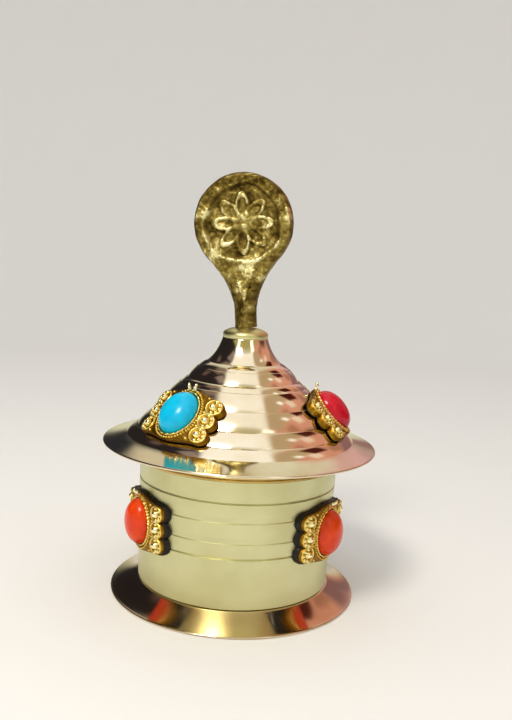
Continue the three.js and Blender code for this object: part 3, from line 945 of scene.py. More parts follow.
@dataclass
class Hardware(SubAssembly):
    """The spindle with its nuts and washers, and the bushes that the drum turns on."""

    spindle_radius: float = 1.5
    clearance: float = 0.3
    flange_radius: float = 4.5
    flange: float = 1.0
    bush_wall: float = 0.8
    bush_flange: float = 0.6
    bush_flange_radius: float = 3.6
    tail_bore: float = 1.9
    pitch: float = 0.5
    thread_depth: float = 0.12
    flats: dict[str, float] = field(default_factory=lambda: {
        "base_nut": 7.0, "top_nut": 5.5, "finial_nut": 5.5})

    @property
    def bore(self) -> float:
        """Return the radius of a hole that the spindle runs through."""
        return self.spindle_radius + self.clearance

    def hole(self, body: str) -> float:
        """Return the bore of a nut or washer: the spindle's, or the finial tail's."""
        return self.bore if body == "base" else self.tail_bore

    def bush(self, low: float, high: float, flange_up: bool) -> Grid:
        """Turn a bush: a sleeve with a flange at its top or its foot.

        Args:
            low: Height of its foot.
            high: Height of its top.
            flange_up: Whether the flange is at the top.

        Returns:
            The closed surface.
        """
        bore, back = self.bore, self.bush_flange
        sleeve = bore + self.bush_wall
        corners = np.array([
            [bore, 0], [self.bush_flange_radius, 0], [self.bush_flange_radius, back],
            [sleeve, back], [sleeve, high - low], [bore, high - low]])
        corners[:, 1] = high - corners[:, 1] if flange_up else low + corners[:, 1]
        return turned(blunt(corners, 0.12), FINE)

    def build(self) -> None:
        """Turn the spindle, bushes and washers, and cut the nuts."""
        rod = Extent.of("spindle")
        foot = np.array([[0, rod.foot], [self.flange_radius, rod.foot],
                         [self.flange_radius, rod.foot + self.flange],
                         [0, rod.foot + self.flange]])
        shank = thread(self.spindle_radius, rod.foot + self.flange / 2, rod.top, self.pitch,
                       self.thread_depth)
        self.add("threaded_spindle", [turned(blunt(foot, 0.2, closed=False), FINE), shank],
                 "base", "spindle")
        for node, body in {"base_nut": "base", "top_nut": "base", "finial_nut": "roof"}.items():
            reach = Extent.of(node)
            nut = hexagon_nut(self.flats[node], reach.foot, reach.top, self.hole(body))
            self.add("hex_" + node, nut, body, node, crease=25)
        washers = {"thrust_washer": "base", "top_washer": "base", "finial_washer": "roof"}
        for node, body in washers.items():
            reach = Extent.of(node)
            flat = ring_profile(self.hole(body), reach.radius, reach.foot, reach.top)
            self.add("flat_" + node, turned(blunt(flat, 0.14), FINE), body, node)
        for node, flange_up in {"lower_bush": False, "upper_bush": True}.items():
            reach = Extent.of(node)
            self.add("turned_" + node, self.bush(reach.foot, reach.top, flange_up), "wheel",
                     node)

    def dress(self) -> None:
        """Plate the steel and polish the bushes."""
        for name in self.pieces:
            finish = PolishedBrass() if name.endswith("bush") else ZincSteel()
            self.finish(finish, name)


class LineCut(Enum):
    """How a turned line is cut: its width and depth."""

    CRISP = (0.5, 0.17)
    SOFT = (1.7, 0.12)


@dataclass
class Drum(SubAssembly):
    """The drum that turns, its floor, and the tube that the roll of paper stands round."""

    wall: float = 0.7
    taper: float = 0.7
    lip: float = 0.18
    skirting: float = 0.2
    core_wall: float = 0.7
    waviness: float = 0.008
    above: float = 0.8
    below: float = 0.2
    lines: dict[float, LineCut] = field(default_factory=lambda: {
        10.9: LineCut.CRISP, 14.5: LineCut.SOFT, 19.0: LineCut.SOFT, 23.0: LineCut.CRISP})

    def outside(self) -> Array:
        """Return the outside from the mouth down, with each turned line as a rounded cut.

        A line lowers the radius by its depth times (1 + cos) / 2 of how far the height is
        from it, over four fifths of its width above and one fifth below. The points stand
        closer together across the lines.

        Returns:
            Points of (radius, height), from the top down.
        """
        shell = Extent.of("drum_shell")
        z = np.concatenate([np.linspace(shell.foot - self.skirting, shell.top, 90)] + [
            shell.foot + rise + cut.value[0] * np.linspace(-self.below, self.above, 41)
            for rise, cut in self.lines.items()])
        z = np.unique(z)[::-1]
        share = (z - shell.foot) / (shell.top - shell.foot)
        radius = shell.radius - self.taper * (1 - share)
        for rise, cut in self.lines.items():
            width, depth = cut.value
            over = (z - shell.foot - rise) / width
            away = np.clip(np.where(over > 0, over / self.above, over / -self.below), 0, 1)
            radius -= depth * (1 + np.cos(np.pi * away)) / 2
        return np.stack([radius, z], axis=-1)

    def build(self) -> None:
        """Spin the shell, and cut the floor and the core tube."""
        outside = self.outside()
        inner = np.array([outside[-1], outside[0]]) - [self.wall, 0]
        mouth = [[outside[0, 0] - self.lip, outside[0, 1]]]
        foot = [[outside[-1, 0] - self.lip, outside[-1, 1]]]
        outside[0, 1] -= self.lip
        outside[-1, 1] += self.lip
        profile = np.vstack([mouth, outside, foot, blunt(inner, 0)])
        self.add("drum_wall", turned(profile, 192, wobble=self.waviness), "wheel", "drum_shell")
        floor, core = Extent.of("drum_floor"), Extent.of("core_tube")
        bore = core.radius - self.core_wall
        disc = ring_profile(bore, floor.radius, floor.foot, floor.top)
        self.add("drum_bottom", turned(blunt(disc, 0.15)), "wheel", "drum_floor")
        sleeve = ring_profile(bore, core.radius, core.foot, core.top)
        self.add("scroll_core", turned(blunt(sleeve, 0.15), FINE), "wheel", "core_tube")

    def dress(self) -> None:
        """Leave it all satin, as it was turned."""
        self.finish(SatinBrass(), "drum_wall", "drum_bottom", "scroll_core")


@dataclass
class Scroll(SubAssembly):
    """The roll of paper on the core, held by two bands. It bears no writing."""

    turn: float = 0.55
    gap: float = 0.3
    core_radius: float = 3.6
    end_relief: float = 0.16
    band_thickness: float = 0.4

    def roll(self, reach: Extent) -> Grid:
        """Make the roll, whose ends show the turns of paper as a spiral.

        An end's height is the roll's less a little, where the phase of the spiral, the
        radius over the spacing less the turn round the axis, is at a gap between turns.

        Args:
            reach: How far the roll's node reaches.

        Returns:
            The closed surface.
        """
        inner = self.core_radius + self.gap
        r = np.linspace(inner, reach.radius, 210)[None]
        u = circle(160)
        phase = (r / self.turn - u / (2 * np.pi)) % 1
        edge = smooth(r, inner, inner + 0.5) * (1 - smooth(r, reach.radius - 0.5, reach.radius))
        dip = self.end_relief * (0.5 + 0.5 * np.cos(2 * np.pi * phase)) ** 3 * edge
        top = round_axis(r, u, reach.top - dip)
        foot = round_axis(r, u, reach.foot + dip)
        return Grid(np.concatenate([top, foot[:, ::-1]], axis=1))

    def build(self) -> None:
        """Roll the paper and tie the bands."""
        paper = Extent.of("mantra_scroll")
        self.add("paper_roll", self.roll(paper), "wheel", "mantra_scroll")
        for node in ("scroll_band_lower", "scroll_band_upper"):
            reach = Extent.of(node)
            band = ring_profile(reach.radius - self.band_thickness, reach.radius, reach.foot,
                                reach.top)
            self.add("tape_" + node[-5:], turned(blunt(band, 0.15)), "wheel", node)

    def dress(self) -> None:
        """Give the roll its paper and the bands their tape."""
        self.finish(ScrollPaper(), "paper_roll")
        self.finish(WovenRibbon(), "tape_lower", "tape_upper")


@dataclass
class Roof(SubAssembly):
    """The stepped cone that lifts off, its skirt, and the collar under the finial."""

    sheet: float = 0.7
    tail_bore: float = 1.9
    brim_width: float = 5.3
    brim_rise: float = 1.6
    cone_rise: float = 16.9
    neck_foot: float = 8.6
    neck_rise: float = 5.6
    step: float = 0.2
    bulge: float = 0.05
    edge: float = 0.3
    waviness: float = 0.018
    thicker: float = 1.12
    tiers: tuple[tuple[float, float], ...] = (
        (0.13, 0.112), (0.295, 0.278), (0.472, 0.491), (0.659, 0.695), (0.753, 0.769),
        (0.881, 0.923))
    skirt_wall: float = 0.6
    skirt_bead: float = 0.35
    skirt_waviness: float = 0.006
    collar_edge: float = 0.5
    collar_top: float = 2.9
    collar_slope: float = 1.8
    collar_lift: float = 0.03

    def outside(self) -> Array:
        """Return the outside from the neck's top down to the brim's edge.

        Each tier is the straight line between its foot and its edge, pushed outwards by
        4 t (1-t) of the bulge times its length, so that every tier is a shallow barrel.

        Returns:
            Points of (radius, height), from the top down.
        """
        shell, collar = Extent.of("roof_shell"), Extent.of("roof_collar")
        brim, neck = shell.radius - 2 * self.waviness, collar.radius
        neck_z = shell.top - self.neck_rise
        foot_z = neck_z - self.cone_rise
        foot_r = brim - self.brim_width
        run = foot_r - self.neck_foot
        throat = bezier([[neck, shell.top],
                         [neck + 0.3 * (self.neck_foot - neck), neck_z + 0.35 * self.neck_rise],
                         [self.neck_foot, neck_z]], 24)
        start, tiers = np.array([foot_r, foot_z]), []
        edges = [np.array([foot_r - run * i, foot_z + self.cone_rise * u]) for i, u in self.tiers]
        for edge in [*edges, np.array([self.neck_foot, neck_z])]:
            chord = edge - start
            t = np.linspace(0, 1, 14)[:, None]
            out = np.array([chord[1], -chord[0]])
            tiers.append(start + chord * t + out * self.bulge * 4 * t * (1 - t))
            start = edge + [-self.step, self.step / 4]
        cone = np.vstack(tiers)[::-1]
        flare = bezier([[foot_r, foot_z],
                        [foot_r + 0.3 * self.brim_width, foot_z - 0.45 * self.brim_rise],
                        [brim - self.edge, foot_z - self.brim_rise + 0.06]], 24)
        return np.vstack([throat, cone[1:], flare[1:]])

    def underside(self) -> Array:
        """Return the inside, from under the neck to the brim: a sheet's thickness in.

        Returns:
            Points of (radius, height), from the top down.
        """
        outer = self.outside()
        line = outer[::6]
        along = np.gradient(line, axis=0)
        along /= np.linalg.norm(along, axis=1, keepdims=True)
        return line + self.sheet * self.thicker * np.stack([along[:, 1], -along[:, 0]], axis=-1)

    def shell(self) -> Grid:
        """Spin the roof: a flat top with a hole, the outside, a rolled edge, the inside.

        Returns:
            The closed surface.
        """
        outer, inner = self.outside(), self.underside()
        ceiling = Extent.of("roof_shell").top - self.sheet
        inner = inner[inner[:, 1] < ceiling - 0.3]
        edge = outer[-1] - [0, self.edge]
        roll = arc((edge[0], edge[1]), self.edge, np.pi / 2, -np.pi / 2, 10)
        inner = inner[inner[:, 0] < edge[0] - 0.8]
        corner = [[inner[0, 0] - 0.35, ceiling]]
        top = [[self.tail_bore, ceiling], [self.tail_bore, ceiling + self.sheet]]
        rim = blunt(np.vstack([top[1:], outer[:2]]), [0, 0.15, 0], closed=False)
        return turned(np.vstack([top[:1], rim, outer[2:-1], roll, inner[::-1], corner]),
                      wobble=self.waviness)

    def skirt(self) -> Grid:
        """Spin the skirt, with its bead as a half round at the foot.

        Returns:
            The closed surface.
        """
        reach = Extent.of("roof_skirt")
        outer = reach.radius - self.skirt_bead
        bore = outer - self.skirt_wall
        bead = arc((outer, reach.foot + self.skirt_bead), self.skirt_bead, -np.pi / 2,
                   np.pi / 2, 14)
        rest = blunt(np.array([[outer, reach.top], [bore, reach.top], [bore, reach.foot]]), 0)
        return turned(np.vstack([bead, rest]), wobble=self.skirt_waviness)

    def collar(self) -> Grid:
        """Turn the collar: an upright edge, then a dome up to the stem.

        The dome is a quarter ellipse whose width is raised to a power, so it slopes more.

        Returns:
            The closed surface.
        """
        reach = Extent.of("roof_collar")
        low = Extent.of("roof_shell").top + self.collar_lift
        shoulder = reach.foot + self.collar_edge
        angle = np.linspace(0, np.pi / 2, 20)
        dome = np.stack([
            self.collar_top
            + (reach.radius - self.collar_top) * np.cos(angle).clip(0) ** self.collar_slope,
            shoulder + (reach.top - shoulder) * np.sin(angle)], axis=-1)
        foot = blunt(np.array([[self.tail_bore, low], [reach.radius, low], dome[0]]),
                     [0, 0.12, 0], closed=False)
        return turned(np.vstack([foot[:-1], dome, [[self.tail_bore, reach.top]]]), FINE)

    def build(self) -> None:
        """Spin the shell, the skirt and the collar."""
        self.add("stepped_roof", self.shell(), "roof", "roof_shell", crease=22)
        self.add("beaded_skirt", self.skirt(), "roof", "roof_skirt")
        self.add("domed_collar", self.collar(), "roof", "roof_collar")

    def dress(self) -> None:
        """Polish all of it. The skirt's darker brass is painted shade from under the brim."""
        self.finish(PolishedBrass(), "stepped_roof")
        # The skirt's darker brass is painted shade: the shadow under the brim.
        self.finish(PolishedBrass("skirt_brass_painted_shade", "d2b872", "ae9350", 0.18), "beaded_skirt")
        self.finish(PolishedBrass("collar_brass", "e9e2b0", "d6cd92", 0.3), "domed_collar")


@dataclass
class Finial(SubAssembly):
    """The cast disc on its stem: a raised border round a worn rosette of eight petals."""

    stem: float = 2.5
    stem_length: float = 3.4
    disc: float = 11.34
    rise: float = 23.2
    thickness: float = 4.4
    meet: float = math.radians(48)
    wear: float = 0.9
    stem_wear: float = 2.3
    raggedness: float = 0.12
    roughness: tuple[float, float, float] = (0.14, 0.1, 0.09)
    face: float = 8.5
    face_depth: float = 0.75
    petals: int = 8
    petal_length: float = 4.9
    petal_width: float = 2.5
    eye: float = 1.5
    line: float = 0.46
    relief: float = 0.85
    lean: float = math.radians(4.5)
    turn: float = math.radians(-8)
    tail: float = 1.6
    tail_rise: float = 1.6
    tail_pitch: float = 0.8
    tail_depth: float = 0.14
    gap: float = 0.3
    root: float = 0.25

    def half_width(self, z: Array) -> Array:
        """Return half the outline's width at a height: the stem, the web's curve, the disc.

        Args:
            z: Heights above the stem's foot.

        Returns:
            Half the width at each.
        """
        meet_x = self.disc * math.cos(self.meet)
        meet_z = self.rise - self.disc * math.sin(self.meet)
        span = meet_z - self.stem_length
        web = bezier([[self.stem, self.stem_length],
                      [self.stem, self.stem_length + 0.35 * span],
                      [meet_x - 0.24 * span, meet_z - 0.29 * span],
                      [meet_x, meet_z]], 200)
        disc = np.sqrt(np.clip(self.disc**2 - (z - self.rise) ** 2, 0, None))
        return np.where(z > meet_z, disc, np.interp(z, web[:, 1], web[:, 0]))

    def rows(self) -> Array:
        """Return the heights of the sections, closer together towards the disc's top.

        Returns:
            Heights above the stem's foot, from the lowest up.
        """
        low = np.linspace(-self.root, self.rise - self.disc * math.sin(self.meet), 90)[:-1]
        angle = np.linspace(-self.meet, np.pi / 2, 170)
        return np.concatenate([low, self.rise + self.disc * np.sin(angle)])

    def edge_distance(self, x: Array, z: Array) -> Array:
        """Return how far each point lies inside the outline, to the nearest of its points.

        The outline runs on below the foot, so that the foot itself doesn't count as an edge.

        Args:
            x: Places across the casting.
            z: Places up it, from the stem's foot.

        Returns:
            The distance of each point.
        """
        line_z = np.concatenate([np.linspace(-4, -0.3, 30), self.rows()])
        line_x = self.half_width(line_z)
        gaps = (np.abs(x)[..., None] - line_x) ** 2 + (z[..., None] - line_z) ** 2
        return np.sqrt(gaps.min(axis=-1))

    def rosette(self, x: Array, z: Array) -> Array:
        """Return the rosette's height: petals drawn as raised lines round a domed eye.

        A point turns into the sector of its nearest petal. There its place is scaled to the
        petal's half width and half length, and its distance from the unit circle, back in
        millimetres, gives a rounded line.

        Args:
            x: Places to the right of its middle.
            z: Places above its middle.

        Returns:
            The height at each place, from 0 to 1.
        """
        rho = np.hypot(x, z)
        sector = 2 * np.pi / self.petals
        angle = (np.arctan2(x, z) + sector / 2) % sector - sector / 2
        across, along = rho * np.sin(angle), rho * np.cos(angle)
        middle = self.eye + self.petal_length / 2
        half_width, half_length = self.petal_width / 2, self.petal_length / 2
        radial = np.hypot(across / half_width, (along - middle) / half_length)
        away = np.abs(radial - 1) * half_width
        lines = np.sqrt(np.clip(1 - (away / self.line) ** 2, 0, 1))
        filled = 0.35 * np.clip(1 - radial**2, 0, 1)
        eye = np.sqrt(np.clip(1 - (rho / self.eye) ** 2, 0, 1))
        return np.maximum(np.maximum(lines, filled), eye)

    def front_relief(self, x: Array, z: Array) -> tuple[Array, Array]:
        """Work out the front's relief.

        Args:
            x: Places across the casting.
            z: Places up it, from the stem's foot.

        Returns:
            How far the front stands out of the slab's flat face, and how bright its colour is,
            from 0 to 1: rubbed bright on the raised lines, with painted highlights on the
            border's lower lip and the web's facet.
        """
        # The border's inner edge is an uneven circle, sunk steeply above and gently below.
        local = z - self.rise
        rho, bearing = np.hypot(x, local), np.arctan2(x, local)
        inner = self.face + 0.22 * np.sin(3 * bearing + 1) + 0.15 * np.sin(7 * bearing)
        lower = (1 - np.cos(bearing - 0.4)) / 2  # 0 at the top right and 1 at the foot
        sunk = 1 - smooth(rho - inner, -0.4 - 1.1 * lower, 0.35)
        # The lip also lifts the colour below: a painted highlight where it faces up at the foot.
        lip = np.exp(-(((rho - inner - 0.35) / 0.62) ** 2)) * 0.38 * lower
        drawn = self.rosette(x, local) * self.relief * sunk
        worn = 0.75 + 0.25 * lumps(x + 40, z, 2.6, 7)
        # A wedge-shaped facet fills the web under the disc. Its colour is lifted too: a painted
        # highlight.
        below = self.rise - self.disc
        wedge = (smooth(z, 4.2, 6.2) * (1 - smooth(z, below + 1.4, below + 2.4))
                 * (1 - smooth(np.abs(x) - (z - 4.5) * 0.27, -0.25, 0.2)))
        facet = wedge * (0.75 - 0.1 * (z - 5))
        # Colour: raised lines rubbed bright, the sunk face darker with tarnish, painted
        # highlights on the lip and facet.
        rubbed = 0.42 + 0.5 * drawn * worn / self.relief - 0.12 * sunk + 1.1 * lip + 0.3 * wedge
        return drawn * worn - self.face_depth * sunk + lip + facet, rubbed

    def slab(self) -> Grid:
        """Make the casting: sections across it, stacked from the stem's foot to the top.

        A section runs round the slab. Its half thickness is T/2 sqrt(1 - (1 - d/b)^2), for
        the distance d in from the outline and a rounding b that is the whole half width on
        the stem and small on the disc. Lumps and pits roughen it all.

        Returns:
            The closed surface, with how far each place is rubbed bright.
        """
        z = self.rows()[:, None]
        u = circle(320).T
        across = 8 * np.sin(u) + 50 * np.sign(np.cos(u)) + 0 * z
        ragged = self.raggedness * lumps(z + 0 * u, across, 1.7, 3)
        plain = -np.cos(u) * self.half_width(z)
        x = plain - np.cos(u) * ragged * smooth(self.rise + self.disc - z, 0, 1)
        z = z + 0 * x
        rounding = self.wear + (self.stem_wear - self.wear) * (1 - smooth(z, 5, 13))
        inside = np.clip(self.edge_distance(plain, z) / rounding, 0, 1)
        half = self.thickness / 2 * np.sqrt(np.clip(1 - (1 - inside) ** 2, 0, 1))
        front = np.sin(u) > 0
        raised, rubbed = self.front_relief(x, z)
        hollow = 1 - smooth(np.hypot(x, z - self.rise), self.face - 0.8, self.face + 0.3)
        shape = np.where(front, raised, -0.5 * hollow)
        way = x + 1.5 * np.where(front, half, -half)
        coarse, middling, fine = self.roughness
        rough = (coarse * lumps(way, z, 2.3, 11) + middling * lumps(way + 9, z, 0.9, 12)
                 + fine * lumps(way, z + 5, 0.42, 13))
        solid = smooth(inside, 0, 0.5)
        depth = half + (shape + rough) * solid
        # Colour brightness, which carries the front's painted highlights.
        high = np.where(front, rubbed, 0.42 - 0.1 * hollow) + 1.9 * rough
        y = np.where(front, -depth, depth)
        flat = np.stack([x, y, z], axis=-1)
        foot = np.broadcast_to([0, 0, -self.root], (1, flat.shape[1], 3))
        top = np.broadcast_to([0, 0, self.rise + self.disc], (1, flat.shape[1], 3))
        points = np.concatenate([foot, flat[:-1], top])
        relief = np.concatenate([high[:1], high[:-1], high[-1:]])
        return Grid(self.leant(points), rows_close=False, relief=relief)

    def leant(self, points: Array) -> Array:
        """Turn the casting about Z, lean it to the left about Y, and stand it on the collar.

        Args:
            points: Points of the upright casting.

        Returns:
            The points in their place.
        """
        c, s = math.cos(self.turn), math.sin(self.turn)
        x, y = points[..., 0] * c - points[..., 1] * s, points[..., 0] * s + points[..., 1] * c
        z = points[..., 2]
        c, s = math.cos(self.lean), math.sin(self.lean)
        foot = Extent.of("roof_collar").top + self.gap + self.stem * s
        return np.stack([x * c - z * s, y, x * s + z * c + foot], axis=-1)

    def build(self) -> None:
        """Cast the finial, with its threaded tail."""
        low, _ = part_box("finial")
        top = Extent.of("roof_collar").top + self.gap + self.tail_rise
        rod = thread(self.tail, low[2] / MM, top, self.tail_pitch, self.tail_depth)
        self.add("cast_finial", [self.slab(), rod], "roof", "finial", crease=60)

    def dress(self) -> None:
        """Leave it as cast."""
        self.finish(CastBrass(), "cast_finial")


@dataclass
class Stone(SubAssembly):
    """One cabochon in its stamped setting, on a near-black pad that follows the brass."""

    tier: str = "drum"
    number: int = 1
    azimuth: float = 0.0
    height: float = 0.0
    colour: StoneColour = StoneColour.CORAL
    body: str = "wheel"
    profile: Array = field(default_factory=lambda: np.zeros((2, 2)))

    half_width: float = 9.2
    crown: float = 6.4
    lobe: float = 1.95
    spacing: float = 3.5
    stone_width: float = 8.4
    stone_length: float = 10.2
    stone_foot: float = 1.0
    stone_height: float = 3.7
    fullness: float = 0.92
    bezel_gap: float = 0.04
    bezel_wall: float = 0.72
    bezel_top: float = 1.62
    seat_heights: tuple[float, float] = (1.1, 1.25)
    bezel_rise: float = 0.5
    rope_strands: int = 34
    rope_depth: float = 0.07
    rope_slant: float = 3.2
    large_bead: float = 0.8
    small_bead: float = 0.44
    bead_ring: float = 1.32
    bead_stretch: float = 1.15
    wire_height: float = 0.3
    grains: int = 56
    grain: float = 0.25
    grain_rows: tuple[float, ...] = (-5.1, -3.5, -1.75, 0.0, 1.75, 3.5, 5.1)
    row_grain: float = 0.3
    plate_foot: float = 1.0
    plate_top: float = 1.5
    columns: int = 400
    chamfer: float = 0.12
    claw: float = 0.34
    claw_foot: tuple[float, float, float] = (0.75, 5.95, 1.5)
    pad_margin: float = 0.25
    pad_face: float = 0.95
    pad_lift: float = 0.03
    bend_share: float = 0.8
    pad_foot: tuple[float, float] = (-9.0, 0.9)
    lip: float = 0.0
    lip_inside: float = 0.96
    lip_gap: float = 0.35
    pad_share: float = 1.0

    def bent(self, local: Array) -> Array:
        """Bend a setting's plate round the brass, by a share of how far the brass falls away.

        The fall at each x is that of the brass under the middle line, y = 0.

        Args:
            local: Points in the setting's frame.

        Returns:
            The points, moved along z.
        """
        x = np.linspace(0, self.half_width + 1, 24)
        under = self.brass_below(np.stack([x, 0 * x], axis=-1))
        fall = np.interp(np.abs(local[..., 0]), x, under - under[0])
        bent = local.copy()
        bent[..., 2] += self.bend_share * fall
        return bent

    def place(self, local: Array) -> Array:
        """Stand points of the setting's own frame on the brass.

        The frame's middle lies half way along the chord between the brass at equal
        distances above and below the height. Its x runs round the axis, its y up the
        chord, and its z outwards.

        Args:
            local: Points in the setting's frame.

        Returns:
            The points on the brass.
        """
        reach = self.crown / 2
        r = np.interp([self.height + reach, self.height - reach], self.profile[::-1, 1],
                      self.profile[::-1, 0])
        middle_r, up = r.mean(), np.array([r[0] - r[1], 2 * reach])
        up /= np.linalg.norm(up)
        a = math.radians(self.azimuth)
        out = np.array([math.sin(a), -math.cos(a), 0])
        across = np.array([math.cos(a), math.sin(a), 0])
        along = up[0] * out + up[1] * np.array([0, 0, 1])
        normal = np.cross(across, along)
        origin = middle_r * out + np.array([0, 0, self.height])
        return (origin + local[..., :1] * across + local[..., 1:2] * along
                + local[..., 2:] * normal)

    def outline(self, margin: float, count: int) -> Array:
        """Return the scalloped edge: three lobes down each side, an arched top and foot.

        The arcs and curves are joined, then points are taken at even steps along them.

        Args:
            margin: How far outside the plate's own edge it runs.
            count: How many points to take.

        Returns:
            Points of (x, y).
        """
        lobe, side = self.lobe + margin, self.half_width - self.lobe
        bend = math.pi / 2 - math.acos(self.spacing / 2 / lobe)
        crown, end = self.crown + margin, self.spacing + lobe
        parts = []
        for way in (1, -1):
            base = 0.0 if way > 0 else math.pi
            for row in (-1, 0, 1):
                start = base + (-math.pi / 2 if row < 0 else -bend)
                stop = base + (math.pi / 2 if row > 0 else bend)
                parts.append(arc((way * side, way * row * self.spacing), lobe, start, stop, 40))
            for curve in ([[side, end], [side * 0.6, end], [side * 0.4, crown], [0, crown]],
                          [[0, crown], [-side * 0.4, crown], [-side * 0.6, end], [-side, end]]):
                parts.append(bezier(way * np.array(curve), 40))
        line = np.vstack(parts)
        line = np.vstack([line, line[:1]])
        run = np.concatenate([[0], np.cumsum(np.linalg.norm(np.diff(line, axis=0), axis=1))])
        at = np.linspace(0, run[-1], count, endpoint=False)
        return np.stack([np.interp(at, run, line[:, i]) for i in (0, 1)], axis=-1)

    def oval(self, grow: float, towards: Array) -> Array:
        """Return the stone's oval grown all round, at the points nearest to some others.

        Args:
            grow: How far it is grown.
            towards: The other points.

        Returns:
            Points of (x, y).
        """
        wide, long = self.stone_width / 2 + grow, self.stone_length / 2 + grow
        angle = np.arctan2(towards[:, 1] / long, towards[:, 0] / wide)
        return np.stack([wide * np.cos(angle), long * np.sin(angle)], axis=-1)

    def beads(self) -> Array:
        """Return the stamped beads as rows of x, y, radius.

        Each lobe has a large bead with small ones round its outer side. A row of grains runs
        between the lobes and the stone, and a ring of them follows the bezel.

        Returns:
            One row for each bead.
        """
        side = self.half_width - self.lobe
        rows = []
        for way in (1, -1):
            for row in (-1, 0, 1):
                x, y = way * side, row * self.spacing
                rows.append([x - way * 0.1, y, self.large_bead])
                angle = np.radians(np.array([-88, -44, 0, 44, 88]))
                spot = np.stack([x + way * self.bead_ring * np.cos(angle),
                                 y + self.bead_ring * np.sin(angle),
                                 np.full(5, self.small_bead)], axis=-1)
                rows.extend(spot.tolist())
            for y in self.grain_rows:
                rows.append([way * (5.95 - 0.03 * y * y), y, self.row_grain])
        turn = circle(self.grains)[:, 0]
        ring = self.oval(self.bezel_gap + self.bezel_wall + 0.27,
                         np.stack([np.cos(turn), np.sin(turn)], axis=-1))
        return np.vstack([rows, np.column_stack([ring, np.full(self.grains, self.grain)])])

    def stamped(self, x: Array, y: Array) -> Array:
        """Return the plate's relief: the highest of its round beads, over a curled wire.

        A bead of radius r gives sqrt(r^2 - d^2), a little stretched, d being the distance
        from its middle.

        Args:
            x: Places across the plate.
            y: Places up the plate.

        Returns:
            The relief's height at each place.
        """
        height = np.zeros_like(x)
        for bx, by, radius in self.beads():
            away = (x - bx) ** 2 + (y - by) ** 2
            dome = np.sqrt(np.clip(radius**2 - away, 0, None))
            height = np.maximum(height, self.bead_stretch * dome)
        side = self.half_width - self.lobe
        row = np.clip(np.round(y / self.spacing), -1, 1)
        ring = np.hypot(np.abs(x) - side, y - row * self.spacing)
        wire = self.wire_height * np.exp(-(((ring - self.lobe + 0.22) / 0.2) ** 2))
        return np.maximum(height, wire)

    def setting(self) -> Grid:
        """Make the setting: a bezel twisted like rope, a stamped plate, its edge and back.

        Columns run round, rows run from the bezel's inside over its crest, out across the
        plate, round its edge and back underneath. The crest's radius and height swing with
        the cosine of the rope's phase, which shifts from row to row as strands do.

        Returns:
            The closed surface, with its relief.
        """
        count = self.columns
        edge = self.outline(0, count)
        turn = circle(count)[:, 0]
        rows, heights = [], []
        gap, wall = self.bezel_gap, self.bezel_wall
        for z in (self.plate_foot, *self.seat_heights):
            rows.append(self.oval(gap, edge))
            heights.append(np.full(count, z))
        for t in np.linspace(0, 1, 14):
            twist = np.cos(self.rope_strands * turn + self.rope_slant * (t - 0.5))
            crest = math.sin(math.pi * t)
            grow = gap + wall * t + self.rope_depth * twist * crest
            rows.append(self.oval(grow, edge))
            rise = self.bezel_rise + (self.rope_depth + 0.02) * twist
            heights.append(self.bezel_top - 0.3 + rise * crest)
        outer = self.oval(gap + wall + 0.02, edge)
        plate = np.linspace(0, 1, 44)
        inset = self.outline(-self.chamfer, count)
        for t in plate:
            spot = outer * (1 - t) + inset * t
            rows.append(spot)
            heights.append(self.plate_top + self.stamped(spot[:, 0], spot[:, 1]))
        for share, z in ((0.5, -0.04), (0.85, -0.14), (1.0, -0.28)):
            rows.append(inset * (1 - share) + edge * share)
            heights.append(np.full(count, self.plate_top + z))
        inside = edge * self.lip_inside
        drop = self.lip_drop(edge)
        rows.extend([edge, inside, inside])
        heights.extend([self.plate_foot - drop, self.plate_foot - drop,
                        np.full(count, self.plate_foot)])
        points = np.concatenate([np.stack(rows), np.stack(heights)[..., None]], axis=-1)
        relief = np.clip((np.stack(heights) - self.plate_top) / 0.75, 0, 1)
        relief[:3] = 0.1
        return Grid(self.place(self.bent(points)), relief=relief)

    def lip_drop(self, edge: Array) -> Array:
        """Return how far the plate's lip reaches down, stopping just short of the brass.

        Args:
            edge: Points of the plate's edge.

        Returns:
            The reach at each point.
        """
        level = np.full((len(edge), 1), self.plate_foot)
        foot = self.bent(np.concatenate([edge, level], axis=-1))[:, 2]
        return np.clip(foot - self.brass_below(edge) - self.lip_gap, 0,
                       self.lip)

    def claws(self) -> list[Grid]:
        """Make the two small claws that stand up at the middle of the top edge.

        Returns:
            Two closed surfaces.
        """
        t = np.linspace(0, 1, 12)
        apart, height, level = self.claw_foot
        radii = self.claw * np.sqrt(np.clip(1 - t**3, 0, 1)) * np.minimum(1, t * 12)
        claws = []
        for way in (-1, 1):
            path = np.stack([way * (apart + 0.5 * t**2), height + 1.35 * t,
                             level + 1.1 * np.sin(t * 1.9)], axis=-1)
            grid = tube(path, radii)
            claws.append(Grid(self.place(grid.points), rows_close=False))
        return claws

    def cabochon(self) -> Grid:
        """Make the stone: a flat back, a short girdle, and a dome stretched to an oval.

        The dome's radius is the cosine of an angle to a power below 1, and its height the
        sine, which holds it a little fuller than an ellipse.

        Returns:
            The closed surface.
        """
        girdle = self.stone_height / 8
        angle = np.linspace(0, np.pi / 2, 40)
        r = np.concatenate([[0, 0.97, 1], np.cos(angle[1:]).clip(0) ** self.fullness])
        z = np.concatenate([[0, 0, girdle * 0.4],
                            girdle + (self.stone_height - girdle) * np.sin(angle[1:])])
        u = circle(FINE)
        points = np.stack([r * self.stone_width / 2 * np.cos(u),
                           r * self.stone_length / 2 * np.sin(u),
                           self.stone_foot + z + 0 * u], axis=-1)
        points[:, -1] = points[0, -1]
        return Grid(self.place(points), columns_close=False)

